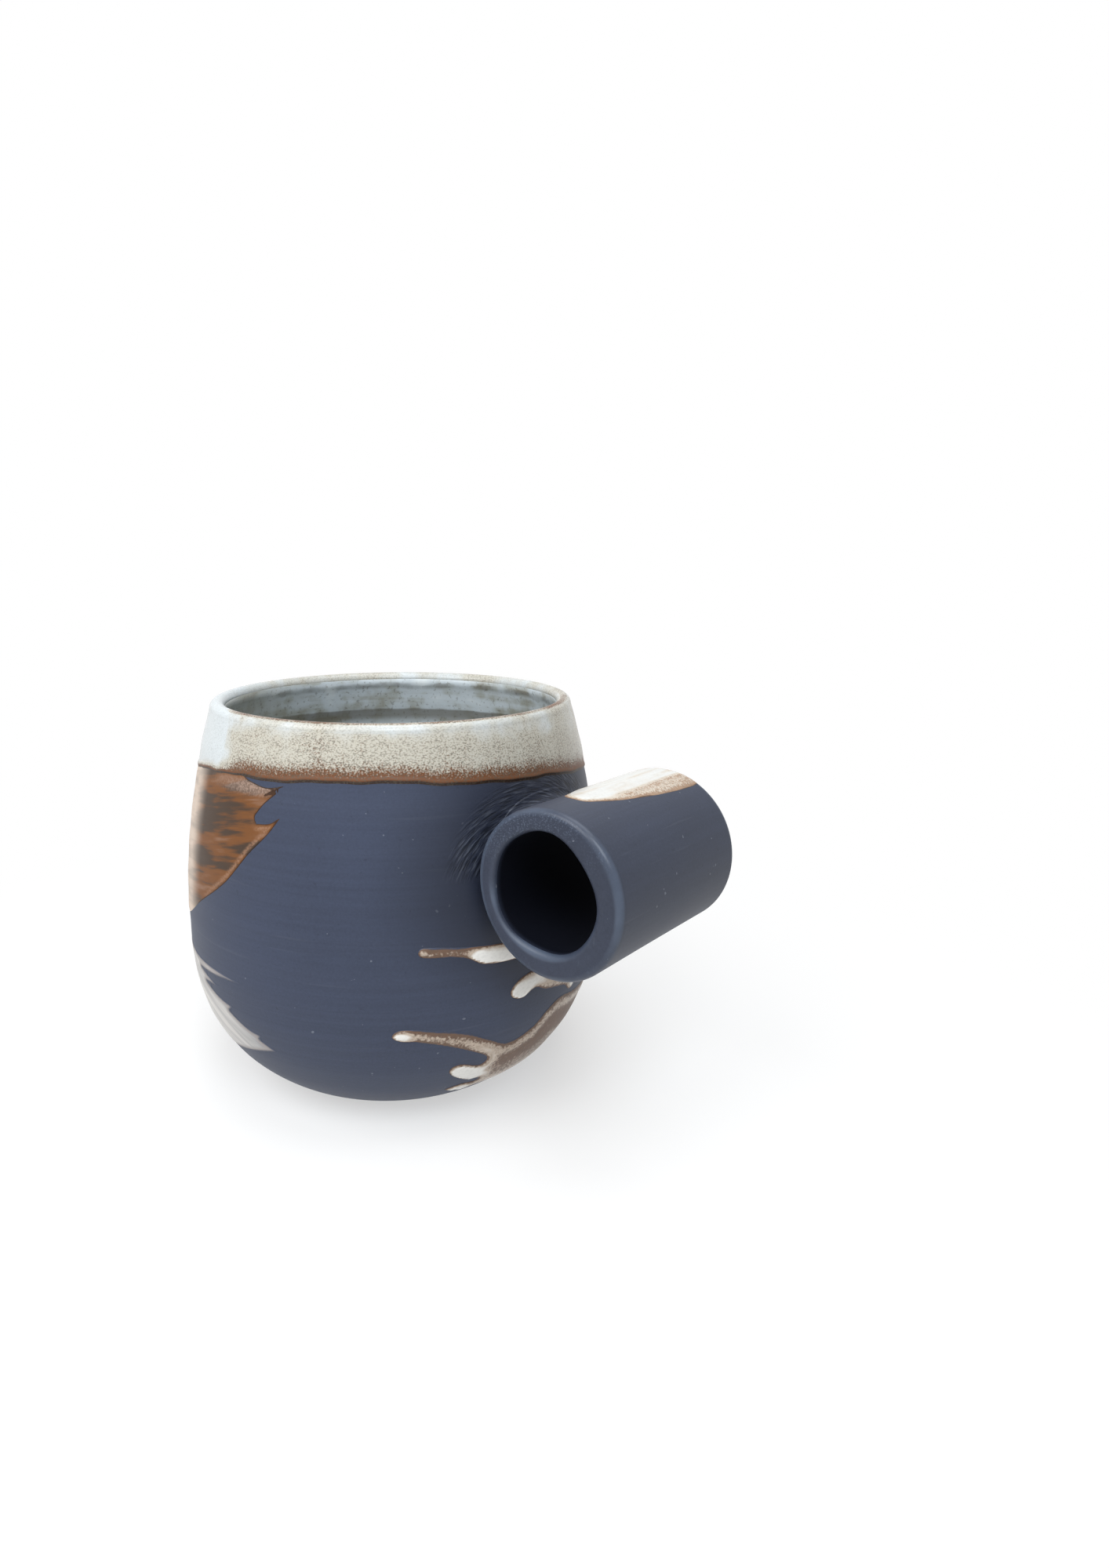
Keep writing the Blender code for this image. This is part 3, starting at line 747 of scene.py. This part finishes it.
rim_finish, tree, shader, place = finish_of("dipped_cream_glaze")
over = stored(tree, "above_edge")
depth = fade(tree, over, 0.0, 4.9, 0.0, 0.54)
depth = calc(tree, "ADD", depth, fade(tree, over, 0.12, 1.2, 0.0, 0.17))
curtains = calc(tree, "SUBTRACT", cloud(tree, drawn(tree, place, (120, 120, 26)), 1.0, 3), 0.5)
depth = calc(tree, "MULTIPLY_ADD", curtains, fade(tree, over, 1.0, 6.0, 0.15, 0.55), depth)
spot = parts_of(tree, place)
# The glaze lies thickest where the dip drained, on the side away from the handle
thick_side = towards(tree, spot, -0.57, -0.82)
thick_side = calc(tree, "MULTIPLY_ADD", curtains, 6 * MM, thick_side)
thick = fade(tree, thick_side, 33.4 * MM, 39.0 * MM, 0.0, 0.60)
back_side = towards(tree, spot, -0.82, 0.57)
back_side = calc(tree, "MULTIPLY_ADD", curtains, 12 * MM, back_side)
thick = times(tree, thick, fade(tree, back_side, 27 * MM, 3 * MM, 0.1, 1.0))
depth = calc(tree, "MULTIPLY_ADD", thick, fade(tree, over, 0.3, 1.6), depth)
crest = fade(tree, spot["Z"], MUG_HEIGHT - 0.30 * MM, MUG_HEIGHT - 0.03 * MM, 0.0, 0.40)
front_side = towards(tree, spot, 0.72, -0.69)
depth = calc(tree, "SUBTRACT", depth, times(tree, crest, fade(tree, front_side, -15 * MM, 15 * MM)))
# The upper band is made fuller and so paler towards the lip: a painted highlight under the lip.
depth = calc(tree, "ADD", depth, fade(tree, over, 7.0, 11.0, 0.0, 0.14))
glaze = placed(tree, broken_glaze, place=place, depth=depth, speckle=0.70, grain=3000)
dress(tree, shader, *glaze, 0.14, 0.10 * MM)
shader["Specular IOR Level"].default_value = 0.34
rim.data.materials.append(rim_finish)
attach(rim, "root")
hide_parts("rim_glaze")


# Handle glaze
# A brush load of the cream glaze is laid along the tube's back. It is fullest on the crest,
# and thin and tan lower down, where the brush ran dry.

HANDLE_LINE = (0.12, 0.08, 0.06, 1)
HANDLE_TAN = (0.35, 0.235, 0.16, 1)
HANDLE_BODY = (0.56, 0.485, 0.40, 1)
HANDLE_WHITE = (0.62, 0.61, 0.58, 1)
CELL = 0.5 * MM
SHARP = True


def soft_outline(points):
    """A closed line through points of across and up, bent softly except at the sharp ones."""
    spots = np.array([point[:2] for point in points])
    sharp = [len(point) > 2 for point in points]
    count = len(points)
    line = []
    for i in range(count):
        before, start, end, after = (spots[(i + k) % count] for k in (-1, 0, 1, 2))
        span = math.hypot(*(end - start))
        leave = end - start if sharp[i] else end - before
        arrive = end - start if sharp[(i + 1) % count] else after - start
        leave = leave / math.hypot(*leave) * span
        arrive = arrive / math.hypot(*arrive) * span
        t = np.linspace(0, 1, max(3, int(span / (0.4 * MM))), endpoint=False)[:, None]
        line.append((2 * t**3 - 3 * t**2 + 1) * start + (t**3 - 2 * t**2 + t) * leave
                    + (3 * t**2 - 2 * t**3) * end + (t**3 - t**2) * arrive)
    return np.concatenate(line)


def edge_distance(spots, line):
    """Distance inside a closed line, less than zero outside it, and the nearest place on the line."""
    start, step = line, np.roll(line, -1, 0) - line
    length = (step**2).sum(1)
    reach, nearest = np.empty(len(spots)), np.empty_like(spots)
    for first in range(0, len(spots), 1000):
        spot = spots[first:first + 1000, None, :]
        share = np.clip(((spot - start) * step).sum(2) / length, 0, 1)
        foot = start + share[:, :, None] * step
        gap = ((spot - foot) ** 2).sum(2)
        best = gap.argmin(1)
        every = np.arange(len(best))
        spans = (start[:, 1] > spot[:, :, 1]) != (start[:, 1] + step[:, 1] > spot[:, :, 1])
        rise = np.where(np.abs(step[:, 1]) < 1e-12, 1e-12, step[:, 1])
        crossing = start[:, 0] + (spot[:, :, 1] - start[:, 1]) / rise * step[:, 0]
        inside = (spans & (spot[:, :, 0] < crossing)).sum(1) % 2 == 1
        reach[first:first + 1000] = np.sqrt(gap[every, best]) * np.where(inside, 1, -1)
        nearest[first:first + 1000] = foot[every, best]
    return reach, nearest


def flat_coat(name, line):
    """A thin flat sheet of glaze cut along a line."""
    low, high = line.min(0) - CELL, line.max(0) + CELL
    columns, rows = np.ceil((high - low) / CELL).astype(int)
    sheet = gridded(name, columns, rows)
    spots = low + places_of(sheet)[:, :2] * (high - low)
    reach, nearest = edge_distance(spots, line)
    spots = np.where((reach < 0)[:, None], nearest, spots)
    move_to(sheet, np.column_stack([spots, np.zeros(len(spots))]))
    corners = np.empty(len(sheet.data.polygons) * 4, int)
    sheet.data.polygons.foreach_get("vertices", corners)
    off = (reach < 0)[corners.reshape(-1, 4)].all(1)
    bpy.ops.object.mode_set(mode="EDIT")
    bpy.ops.mesh.select_mode(type="FACE")
    bpy.ops.mesh.select_all(action="DESELECT")
    bpy.ops.object.mode_set(mode="OBJECT")
    sheet.data.polygons.foreach_set("select", off)
    bpy.ops.object.mode_set(mode="EDIT")
    bpy.ops.mesh.delete(type="FACE")
    bpy.ops.mesh.select_all(action="SELECT")
    bpy.ops.mesh.dissolve_degenerate(threshold=0.01 * MM)
    bpy.ops.object.mode_set(mode="OBJECT")
    apply_modifier(sheet, "SOLIDIFY", thickness=1 * MM, offset=-1)
    bpy.ops.object.shade_smooth()
    return sheet


def laid_coat(name, line, wrap, lift):
    """Cuts a coat, wraps it on the clay and stores how far each point is from its edge."""
    sheet = flat_coat(name, line)
    places = places_of(sheet)
    flat = places[:, :2]
    reach = np.clip(edge_distance(flat, line)[0], 0, None)
    reach[reach < 0.01 * MM] = 0
    lifts = lift(flat, reach)
    move_to(sheet, wrap(flat, np.where(places[:, 2] > -0.5 * MM, lifts, -TUCK)))
    give(sheet, "from_edge", reach / MM)
    lie = sheet.data.uv_layers.new(name="lie")
    corner_points = np.empty(len(sheet.data.loops), int)
    sheet.data.loops.foreach_get("vertex_index", corner_points)
    lie.data.foreach_set("uv", (flat[corner_points] / (10 * MM)).astype(np.float32).ravel())
    return sheet, flat, reach, lifts


def on_tube(flat, lift):
    """Places on the tube's back, from across its crest and along its axis, over its rounded ends."""
    past = np.clip(np.abs(flat[:, 1]) - TUBE_END + TUBE_EDGE, 0, TUBE_EDGE * 0.999)
    angle = flat[:, 0] / TUBE_RADIUS
    made = hand_swell(angle, flat[:, 1])
    radius = TUBE_RADIUS - TUBE_EDGE + np.sqrt(TUBE_EDGE**2 - past**2) + made * MM + lift
    x = TUBE_AXIS.x + radius * np.sin(angle)
    z = TUBE_AXIS.z + radius * np.cos(angle)
    return np.stack([x, flat[:, 1], z], -1)


def tube_points(points):
    return [(math.radians(point[0]) * TUBE_RADIUS, point[1] * MM, *point[2:]) for point in points]


handle_line = soft_outline(tube_points([
    (5, -11.9), (12, -9.3), (17, -6), (22.5, 0.7), (27, 10), (28.5, 17), (28, 20.4, SHARP),
    (-44, 20.4, SHARP), (-40, 8), (-32, 1), (-25, -4.6), (-12, -10.6),
]))
handle_coat, flat, reach, _ = laid_coat(
    "brushed_handle", handle_line, on_tube, lambda flat, reach: 0.26 * MM * soft_step(reach / (1.6 * MM))
)
across = np.degrees(flat[:, 0] / TUBE_RADIUS)
thinned = soft_step((across - 10) / 6) * soft_step((flat[:, 1] + 7 * MM) / (6 * MM))
give(handle_coat, "depth", (0.96 - 0.46 * thinned) * soft_step(reach / (1.1 * MM)))

handle_finish, tree, shader, place = finish_of("brushed_cream_glaze")
streaks = calc(tree, "SUBTRACT", cloud(tree, drawn(tree, place, (620, 70, 620)), 1.0, 3), 0.5)
depth = calc(tree, "MULTIPLY_ADD", streaks, 0.6, stored(tree, "depth"))
glaze = placed(
    tree, broken_glaze, place=place, depth=depth, speckle=0.24, grain=2400,
    line=HANDLE_LINE, thin=HANDLE_TAN, body=HANDLE_BODY, pool=HANDLE_WHITE,
)
dress(tree, shader, *glaze, 0.3, 0.1 * MM)
shader["Specular IOR Level"].default_value = 0.10
handle_coat.data.materials.append(handle_finish)
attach(handle_coat, "root")
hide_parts("handle_glaze")


# Brushed glaze
# A broad brush of rust brown glaze is drawn round the shoulder and leaves points at its ends. A drier
# brush of pale glaze leaves feathered blades under it. The bristles draw streaks along each stroke.

BEIGE = (0.60, 0.495, 0.41, 1)
BLUSH = (0.32, 0.22, 0.17, 1)
EMBER = (0.27, 0.145, 0.085, 1)
CHESTNUT = (0.150, 0.058, 0.018, 1)
UMBER = (0.052, 0.032, 0.021, 1)
ASH = (0.57, 0.54, 0.505, 1)


def wall_points(points):
    return [(math.radians(point[0]) * BELLY_RADIUS, point[1] * MM, *point[2:]) for point in points]


def wrap_on_wall(flat, lift):
    return on_wall(flat[:, 0] / BELLY_RADIUS, flat[:, 1], lift)


def stroke_lift(flat, reach):
    """A thin brushed coat that dives under the band above it."""
    bare = soft_step((dip_edge(flat[:, 0] / BELLY_RADIUS) - flat[:, 1]) / (0.5 * MM) + 1.2)
    return 0.12 * MM * soft_step(reach / (1.1 * MM)) * bare - 0.06 * MM * (1 - bare)


def brush_lie(tree, tilt):
    """Where a place lies round and up the wall, in centimetres, and the same turned along the brush."""
    lie = tree.nodes.new("ShaderNodeUVMap")
    lie.uv_map = "lie"
    turned = tree.nodes.new("ShaderNodeMapping")
    turned.inputs["Rotation"].default_value = (0, 0, math.radians(tilt))
    feed(tree, lie.outputs[0], turned.inputs["Vector"])
    return parts_of(tree, lie.outputs[0]), turned.outputs[0]


upper_line = soft_outline(wall_points([
    (-92, 81, SHARP), (-86, 76.6), (-81.5, 75.5), (-77, 75.0), (-71, 75.9, SHARP), (-75, 74.6),
    (-77.6, 73.5, SHARP), (-73.5, 74.4, SHARP), (-77.5, 71.8), (-80.3, 69.2, SHARP), (-79.6, 67.8, SHARP),
    (-75.2, 68.3), (-72, 69.8, SHARP), (-75.6, 66.1), (-81.3, 61.6), (-89.3, 54.6), (-100.8, 48.3),
    (-116, 41.3), (-134, 38.6), (-150, 40.4), (-163, 43.6, SHARP), (-157, 46.4), (-171, 52.6, SHARP),
    (-164, 56.2), (-162.5, 60.4, SHARP), (-176, 64.5, SHARP), (-166, 68.2), (-169, 81, SHARP),
]))
upper_coat = laid_coat("brushed_shoulder", upper_line, wrap_on_wall, stroke_lift)[0]

upper_finish, tree, shader, place = finish_of("brushed_rust_glaze")
spot, along_brush = brush_lie(tree, -10)
from_edge = stored(tree, "from_edge")
broad = cloud(tree, drawn(tree, along_brush, (0.5, 3.0, 1)), 1.0, 2)
bristles = cloud(tree, drawn(tree, along_brush, (1.0, 7.0, 1)), 1.0, 3)
hairs = cloud(tree, drawn(tree, along_brush, (1.6, 20, 1)), 1.0, 3)
streaks = calc(tree, "MULTIPLY_ADD", bristles, 0.3, times(tree, hairs, 0.12))
streaks = calc(tree, "MULTIPLY_ADD", broad, 0.58, streaks)
glaze_colour = tint(tree, fade(tree, streaks, 0.44, 0.54), UMBER, CHESTNUT)
glaze_colour = tint(tree, fade(tree, streaks, 0.54, 0.66, 0.0, 0.4), glaze_colour, BLUSH)
# The load in the upper point is thick and pink, and the lower edge keeps a tan bead
core = fade(tree, spot["X"], -6.7, -5.9, 7.46, 7.58)
from_core = calc(tree, "ABSOLUTE", calc(tree, "SUBTRACT", spot["Y"], core))
upper_tip = times(tree, fade(tree, from_core, 0.22, 0.03), fade(tree, spot["X"], -8.8, -6.9))
upper_tip = times(tree, upper_tip, fade(tree, from_edge, 0.05, 0.3))
upper_tip = times(tree, upper_tip, fade(tree, cloud(tree, place, 2200, 2), 0.38, 0.62, 0.35, 0.85))
glaze_colour = tint(tree, upper_tip, glaze_colour, BLUSH)
below = calc(tree, "SUBTRACT", spot["Y"], calc(tree, "MULTIPLY_ADD", spot["X"], 1.05, 13.31))
bead = times(tree, fade(tree, from_edge, 0.3, 0.7), fade(tree, from_edge, 1.7, 0.8))
bead = times(tree, bead, fade(tree, below, 0.46, 0.26, 0.1, 0.8))
bead = times(tree, bead, fade(tree, cloud(tree, place, 2000, 2), 0.36, 0.60, 0.35, 1.0))
glaze_colour = tint(tree, bead, glaze_colour, EMBER)
glaze_colour = tint(tree, fade(tree, from_edge, 0.32, 0.08, 0.0, 0.85), glaze_colour, SOOT)
settled = fade(tree, spot["X"], -8.55, -9.45, 0.0, 0.95)
settled = times(tree, settled, fade(tree, spot["X"], -12.2, -10.6, 0.12, 1.0))
settled = times(tree, settled, fade(tree, streaks, 0.35, 0.6, 0.6, 1.0))
glaze_colour = tint(tree, settled, glaze_colour, BEIGE)
dress(tree, shader, glaze_colour, fade(tree, streaks, 0.3, 0.7, 0.42, 0.55), streaks, 0.4, 0.08 * MM)
shader["Specular IOR Level"].default_value = 0.17
upper_coat.data.materials.append(upper_finish)
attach(upper_coat, "root")
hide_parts("upper_brushed_glaze")

lower_line = soft_outline(wall_points([
    (-150, 35.5), (-125, 34.6), (-109, 34.3), (-95, 34.5), (-83, 34.2, SHARP), (-92.8, 33.2),
    (-105.3, 32.0, SHARP), (-94, 30.6, SHARP), (-102.5, 29.6, SHARP), (-94.5, 28.1), (-88.7, 27.6, SHARP),
    (-91, 26.2, SHARP), (-84, 23.6), (-79.7, 23.1, SHARP), (-81, 21.9, SHARP), (-75.8, 20.0, SHARP),
    (-81.8, 18.4), (-90, 16.2), (-100, 13.9), (-120, 12.6), (-142, 13.2), (-158, 16.2, SHARP),
    (-153, 18.4), (-170, 22.4, SHARP), (-160, 24.2), (-158, 26, SHARP), (-175, 30.6, SHARP), (-162, 31.6),
    (-166, 34.6, SHARP),
]))
lower_coat = laid_coat(
    "brushed_belly", lower_line, wrap_on_wall, lambda flat, reach: 0.10 * MM * soft_step(reach / (1.2 * MM))
)[0]

lower_finish, tree, shader, place = finish_of("brushed_pale_glaze")
spot, along_brush = brush_lie(tree, 24)
streaks = cloud(tree, drawn(tree, along_brush, (0.5, 5.0, 1)), 1.0, 4)
from_edge = stored(tree, "from_edge")
fuller = fade(tree, spot["X"], -6.3, -8.4, 0.26, 0.62)
cover = calc(tree, "MULTIPLY_ADD", fade(tree, streaks, 0.30, 0.70), 0.38, fuller)
cover = times(tree, cover, fade(tree, from_edge, 0.0, 1.7))
warm = times(tree, fade(tree, from_edge, 0.1, 0.6), fade(tree, from_edge, 1.6, 0.7))
glaze_colour = tint(tree, times(tree, warm, 0.30), NAVY, BEIGE)
glaze_colour = tint(tree, cover, glaze_colour, ASH)
dress(tree, shader, glaze_colour, fade(tree, cover, 0.0, 1.0, 0.58, 0.40), streaks, 0.4, 0.08 * MM)
lower_coat.data.materials.append(lower_finish)
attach(lower_coat, "root")
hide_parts("lower_brushed_glaze")


# Poured glaze
# The pale glaze is also poured over the lower wall beside the handle. It runs round the belly in fingers
# that end in thick white drops, and thins to brown between its raised edges.

RUN_THIN = (0.125, 0.070, 0.044, 1)
RUN_BODY = (0.43, 0.345, 0.27, 1)
RUN_POOL = (0.70, 0.675, 0.63, 1)

# Each coat has its outline in degrees and millimetres, how full its middle, its raised edge and its foot
# stand, and its pools: where they are, how wide and how full.
poured_coats = {
    "side_run": (
        [(-38, 44.6), (-37, 45.5), (-27, 44.7), (-17, 44.0), (-4, 43.4), (6, 42.6), (9, 41.3), (4, 40.2),
         (-10, 39.9), (-17, 40.0), (-22.5, 40.6), (-26, 42.2), (-30, 43.0), (-37, 43.5)],
        0.37, 0.0, 0.16,
        [(-23.5, 42.3, 2.0, 0.75), (-18.5, 41.8, 3.6, 0.75), (-9, 41.7, 5, 0.75), (-37.2, 44.5, 1.0, 0.4)],
    ),
    "upper_run": (
        [(-14.5, 32.4), (-12, 35.0), (-6, 36.2), (4, 37.0), (20, 36.5), (32, 34.0), (37, 30.8), (32, 28.6),
         (22, 29.2), (14, 28.6), (10, 26.2), (6, 28.4), (-2.6, 30.3), (-6.5, 31.8), (-11, 30.6)],
        0.46, 0.20, 0.06,
        [(-12, 32.6, 3.4, 0.65), (-5, 34.6, 3.0, 0.35), (10, 27.8, 2.2, 0.35)],
    ),
    "poured_glaze": (
        [(-44.4, 27.3), (-42, 28.5), (-33, 27.5), (-26, 26.0), (-19, 22.8), (-13, 20.4), (-5, 21.9),
         (-0.5, 24.6), (5, 26.0), (14, 24.6), (28, 23.6), (45, 25.5), (66, 29), (90, 32), (108, 32.6),
         (119, 31.8), (122.5, 30.2), (119.5, 28.6), (110, 27.8), (105, 26.4), (110, 25.2), (124, 24.8),
         (133.5, 23.6), (136, 22), (133, 20.2), (120, 19.2), (109, 18.2), (105, 17), (109, 15.8),
         (117, 15.2), (119, 13.8), (115, 12.7), (100, 11.6), (75, 9.5), (40, 8.2), (5, 7.4), (-16, 7.6),
         (-28.5, 9.0), (-24, 10.5), (-18.5, 10.7), (-22.6, 11.9), (-27.5, 14.2), (-29.4, 16.6),
         (-27, 17.9), (-20.5, 16.3), (-18.8, 17.6), (-21, 19.5), (-30, 23.2), (-38, 25.4), (-43, 26.1)],
        0.32, 0.42, 0.10,
        [(-42.5, 27.2, 2.4, 0.6), (-33, 26.2, 4, -0.12), (-27, 24.6, 3, -0.16), (-26.5, 16.2, 3.6, 0.7),
         (-22, 14.8, 3.2, 0.5), (-25, 9.6, 3.4, 0.8), (-20, 19.6, 2.4, 0.1), (120, 30.2, 2.4, 0.5),
         (133, 22, 2.6, 0.5), (116.5, 14, 2.2, 0.5)],
    ),
}

poured_finish, tree, shader, place = finish_of("poured_glaze")
glaze = placed(
    tree, broken_glaze, place=place, depth=stored(tree, "depth"), speckle=0.30, grain=1700,
    line=NAVY, thin=RUN_THIN, body=RUN_BODY, pool=RUN_POOL,
)
dress(tree, shader, *glaze, 0.35, 0.12 * MM)
shader["Specular IOR Level"].default_value = 0.35


SAG = np.array((0, 0.8 * MM))
POUR = 0.34 * MM


def pour_depth(flat, reach, line, thin, ridge, sag, pools):
    """How full the glaze stands: thin inside, fuller in a raised edge, at its foot and in each pool."""
    full = thin + ridge * np.exp(-(((reach - 1.9 * MM) / (1.2 * MM)) ** 2))
    sunk = edge_distance(flat + SAG, line)[0] - edge_distance(flat - SAG, line)[0]
    full = full + sag * np.clip(sunk / (2 * SAG[1]), -1, 1)
    for angle, height, size, amount in pools:
        away = np.hypot(flat[:, 0] - math.radians(angle) * BELLY_RADIUS, flat[:, 1] - height * MM)
        full = full + amount * np.exp(-((away / (size * MM)) ** 2))
    full = np.clip(full, 0, 1.1)
    return full * soft_step(reach / (1.15 * MM - 0.75 * MM * np.clip(full, 0, 1)))


for coat_name, (points, thin, ridge, sag, pools) in poured_coats.items():
    pour_line = soft_outline(wall_points(points))
    poured, flat, reach, lifts = laid_coat(
        coat_name + "_coat", pour_line, wrap_on_wall,
        lambda flat, reach: POUR * pour_depth(flat, reach, pour_line, thin, ridge, sag, pools),
    )
    give(poured, "depth", lifts / POUR)
    poured.data.materials.append(poured_finish)
    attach(poured, "root")
    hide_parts(coat_name)


# Floor, light and camera
# A plain pale floor that runs out to white, with broad soft lights at the left and above and a smaller
# one in front, seen from where the photograph was taken.

FLOOR_PALE = (0.90, 0.885, 0.865, 1)
WHITE = (1, 1, 1, 1)
PALE_TO, WHITE_FROM = 0.04, 0.20
ROOM_LIGHT = 0.24


def backdrop_ray(tree):
    """One on each ray that shows the backdrop: seen straight, mirrored or through something clear."""
    path = tree.nodes.new("ShaderNodeLightPath").outputs
    mirrored = calc(tree, "MAXIMUM", path["Is Glossy Ray"], path["Is Transmission Ray"])
    return calc(tree, "MAXIMUM", path["Is Camera Ray"], mirrored)


bpy.ops.object.select_all(action="DESELECT")
bpy.ops.mesh.primitive_plane_add(size=6, location=(0, 0, -0.05 * MM))
ground = bpy.context.object
ground.name = "pale_floor"
ground_finish, tree, shader, place = finish_of("pale_floor")
shader["Base Color"].default_value = FLOOR_PALE
shader["Roughness"].default_value = 0.9
shader["Specular IOR Level"].default_value = 0.1
glow = tree.nodes.new("ShaderNodeEmission")
glow.inputs["Color"].default_value = WHITE
far = tree.nodes.new("ShaderNodeVectorMath")
far.operation = "LENGTH"
feed(tree, place, far.inputs[0])
away = fade(tree, far.outputs["Value"], PALE_TO, WHITE_FROM, 0.55, 1.0)
blend = tree.nodes.new("ShaderNodeMixShader")
feed(tree, times(tree, away, backdrop_ray(tree)), blend.inputs[0])
feed(tree, tree.nodes["Principled BSDF"].outputs[0], blend.inputs[1])
feed(tree, glow.outputs[0], blend.inputs[2])
feed(tree, blend.outputs[0], tree.nodes["Material Output"].inputs["Surface"])
ground.data.materials.append(ground_finish)

world = bpy.data.worlds.new("soft_room")
bpy.context.scene.world = world
world.use_nodes = True
room = world.node_tree
backdrop = room.nodes["Background"]
backdrop.inputs["Color"].default_value = WHITE
feed(room, fade(room, backdrop_ray(room), 0.0, 1.0, ROOM_LIGHT, 1.0), backdrop.inputs["Strength"])


def soft_light(name, place, size, power, colour):
    lamp = bpy.data.lights.new(name, "AREA")
    lamp.shape = "DISK"
    lamp.size = size
    lamp.energy = power
    lamp.color = colour
    holder = bpy.data.objects.new(name, lamp)
    bpy.context.scene.collection.objects.link(holder)
    holder.location = place
    aim = Vector((0, 0, 0.05)) - Vector(place)
    holder.rotation_euler = aim.to_track_quat("-Z", "Y").to_euler()


soft_light("lamp_left", (-0.12, -0.59, 0.62), 0.6, 4.6, (0.97, 0.985, 1.0))
soft_light("lamp_above", (0.06, 0.04, 0.80), 0.6, 3.35, (0.93, 0.965, 1.0))
soft_light("window_front", (0.41, -0.345, 0.575), 0.40, 3.1, (0.86, 0.93, 1.0))

FRAME_WIDTH, FRAME_HEIGHT = 1414, 2000
VIEW_PLACE = (153.53 * MM, -141.07 * MM, 118.83 * MM)
VIEW_YAW = math.radians(41.563)
VIEW_TILT = math.radians(90 - 9.878)
VIEW_ROLL = math.radians(0.087)
VIEW_FOCUS = 1136.5
AXIS_X, AXIS_Y = 617.3, 912.5

lens = bpy.data.cameras.new("view")
lens.sensor_width = 36
lens.lens = VIEW_FOCUS / FRAME_HEIGHT * lens.sensor_width
lens.shift_x = (FRAME_WIDTH / 2 - AXIS_X) / FRAME_HEIGHT
lens.shift_y = (AXIS_Y - FRAME_HEIGHT / 2) / FRAME_HEIGHT
lens.clip_start = 0.01
viewer = bpy.data.objects.new("view", lens)
bpy.context.scene.collection.objects.link(viewer)
turn = Matrix.Rotation(VIEW_YAW, 4, "Z") @ Matrix.Rotation(VIEW_TILT, 4, "X")
turn = turn @ Matrix.Rotation(VIEW_ROLL, 4, "Z")
viewer.matrix_world = Matrix.Translation(VIEW_PLACE) @ turn
bpy.context.scene.camera = viewer
bpy.context.scene.view_settings.view_transform = "Standard"
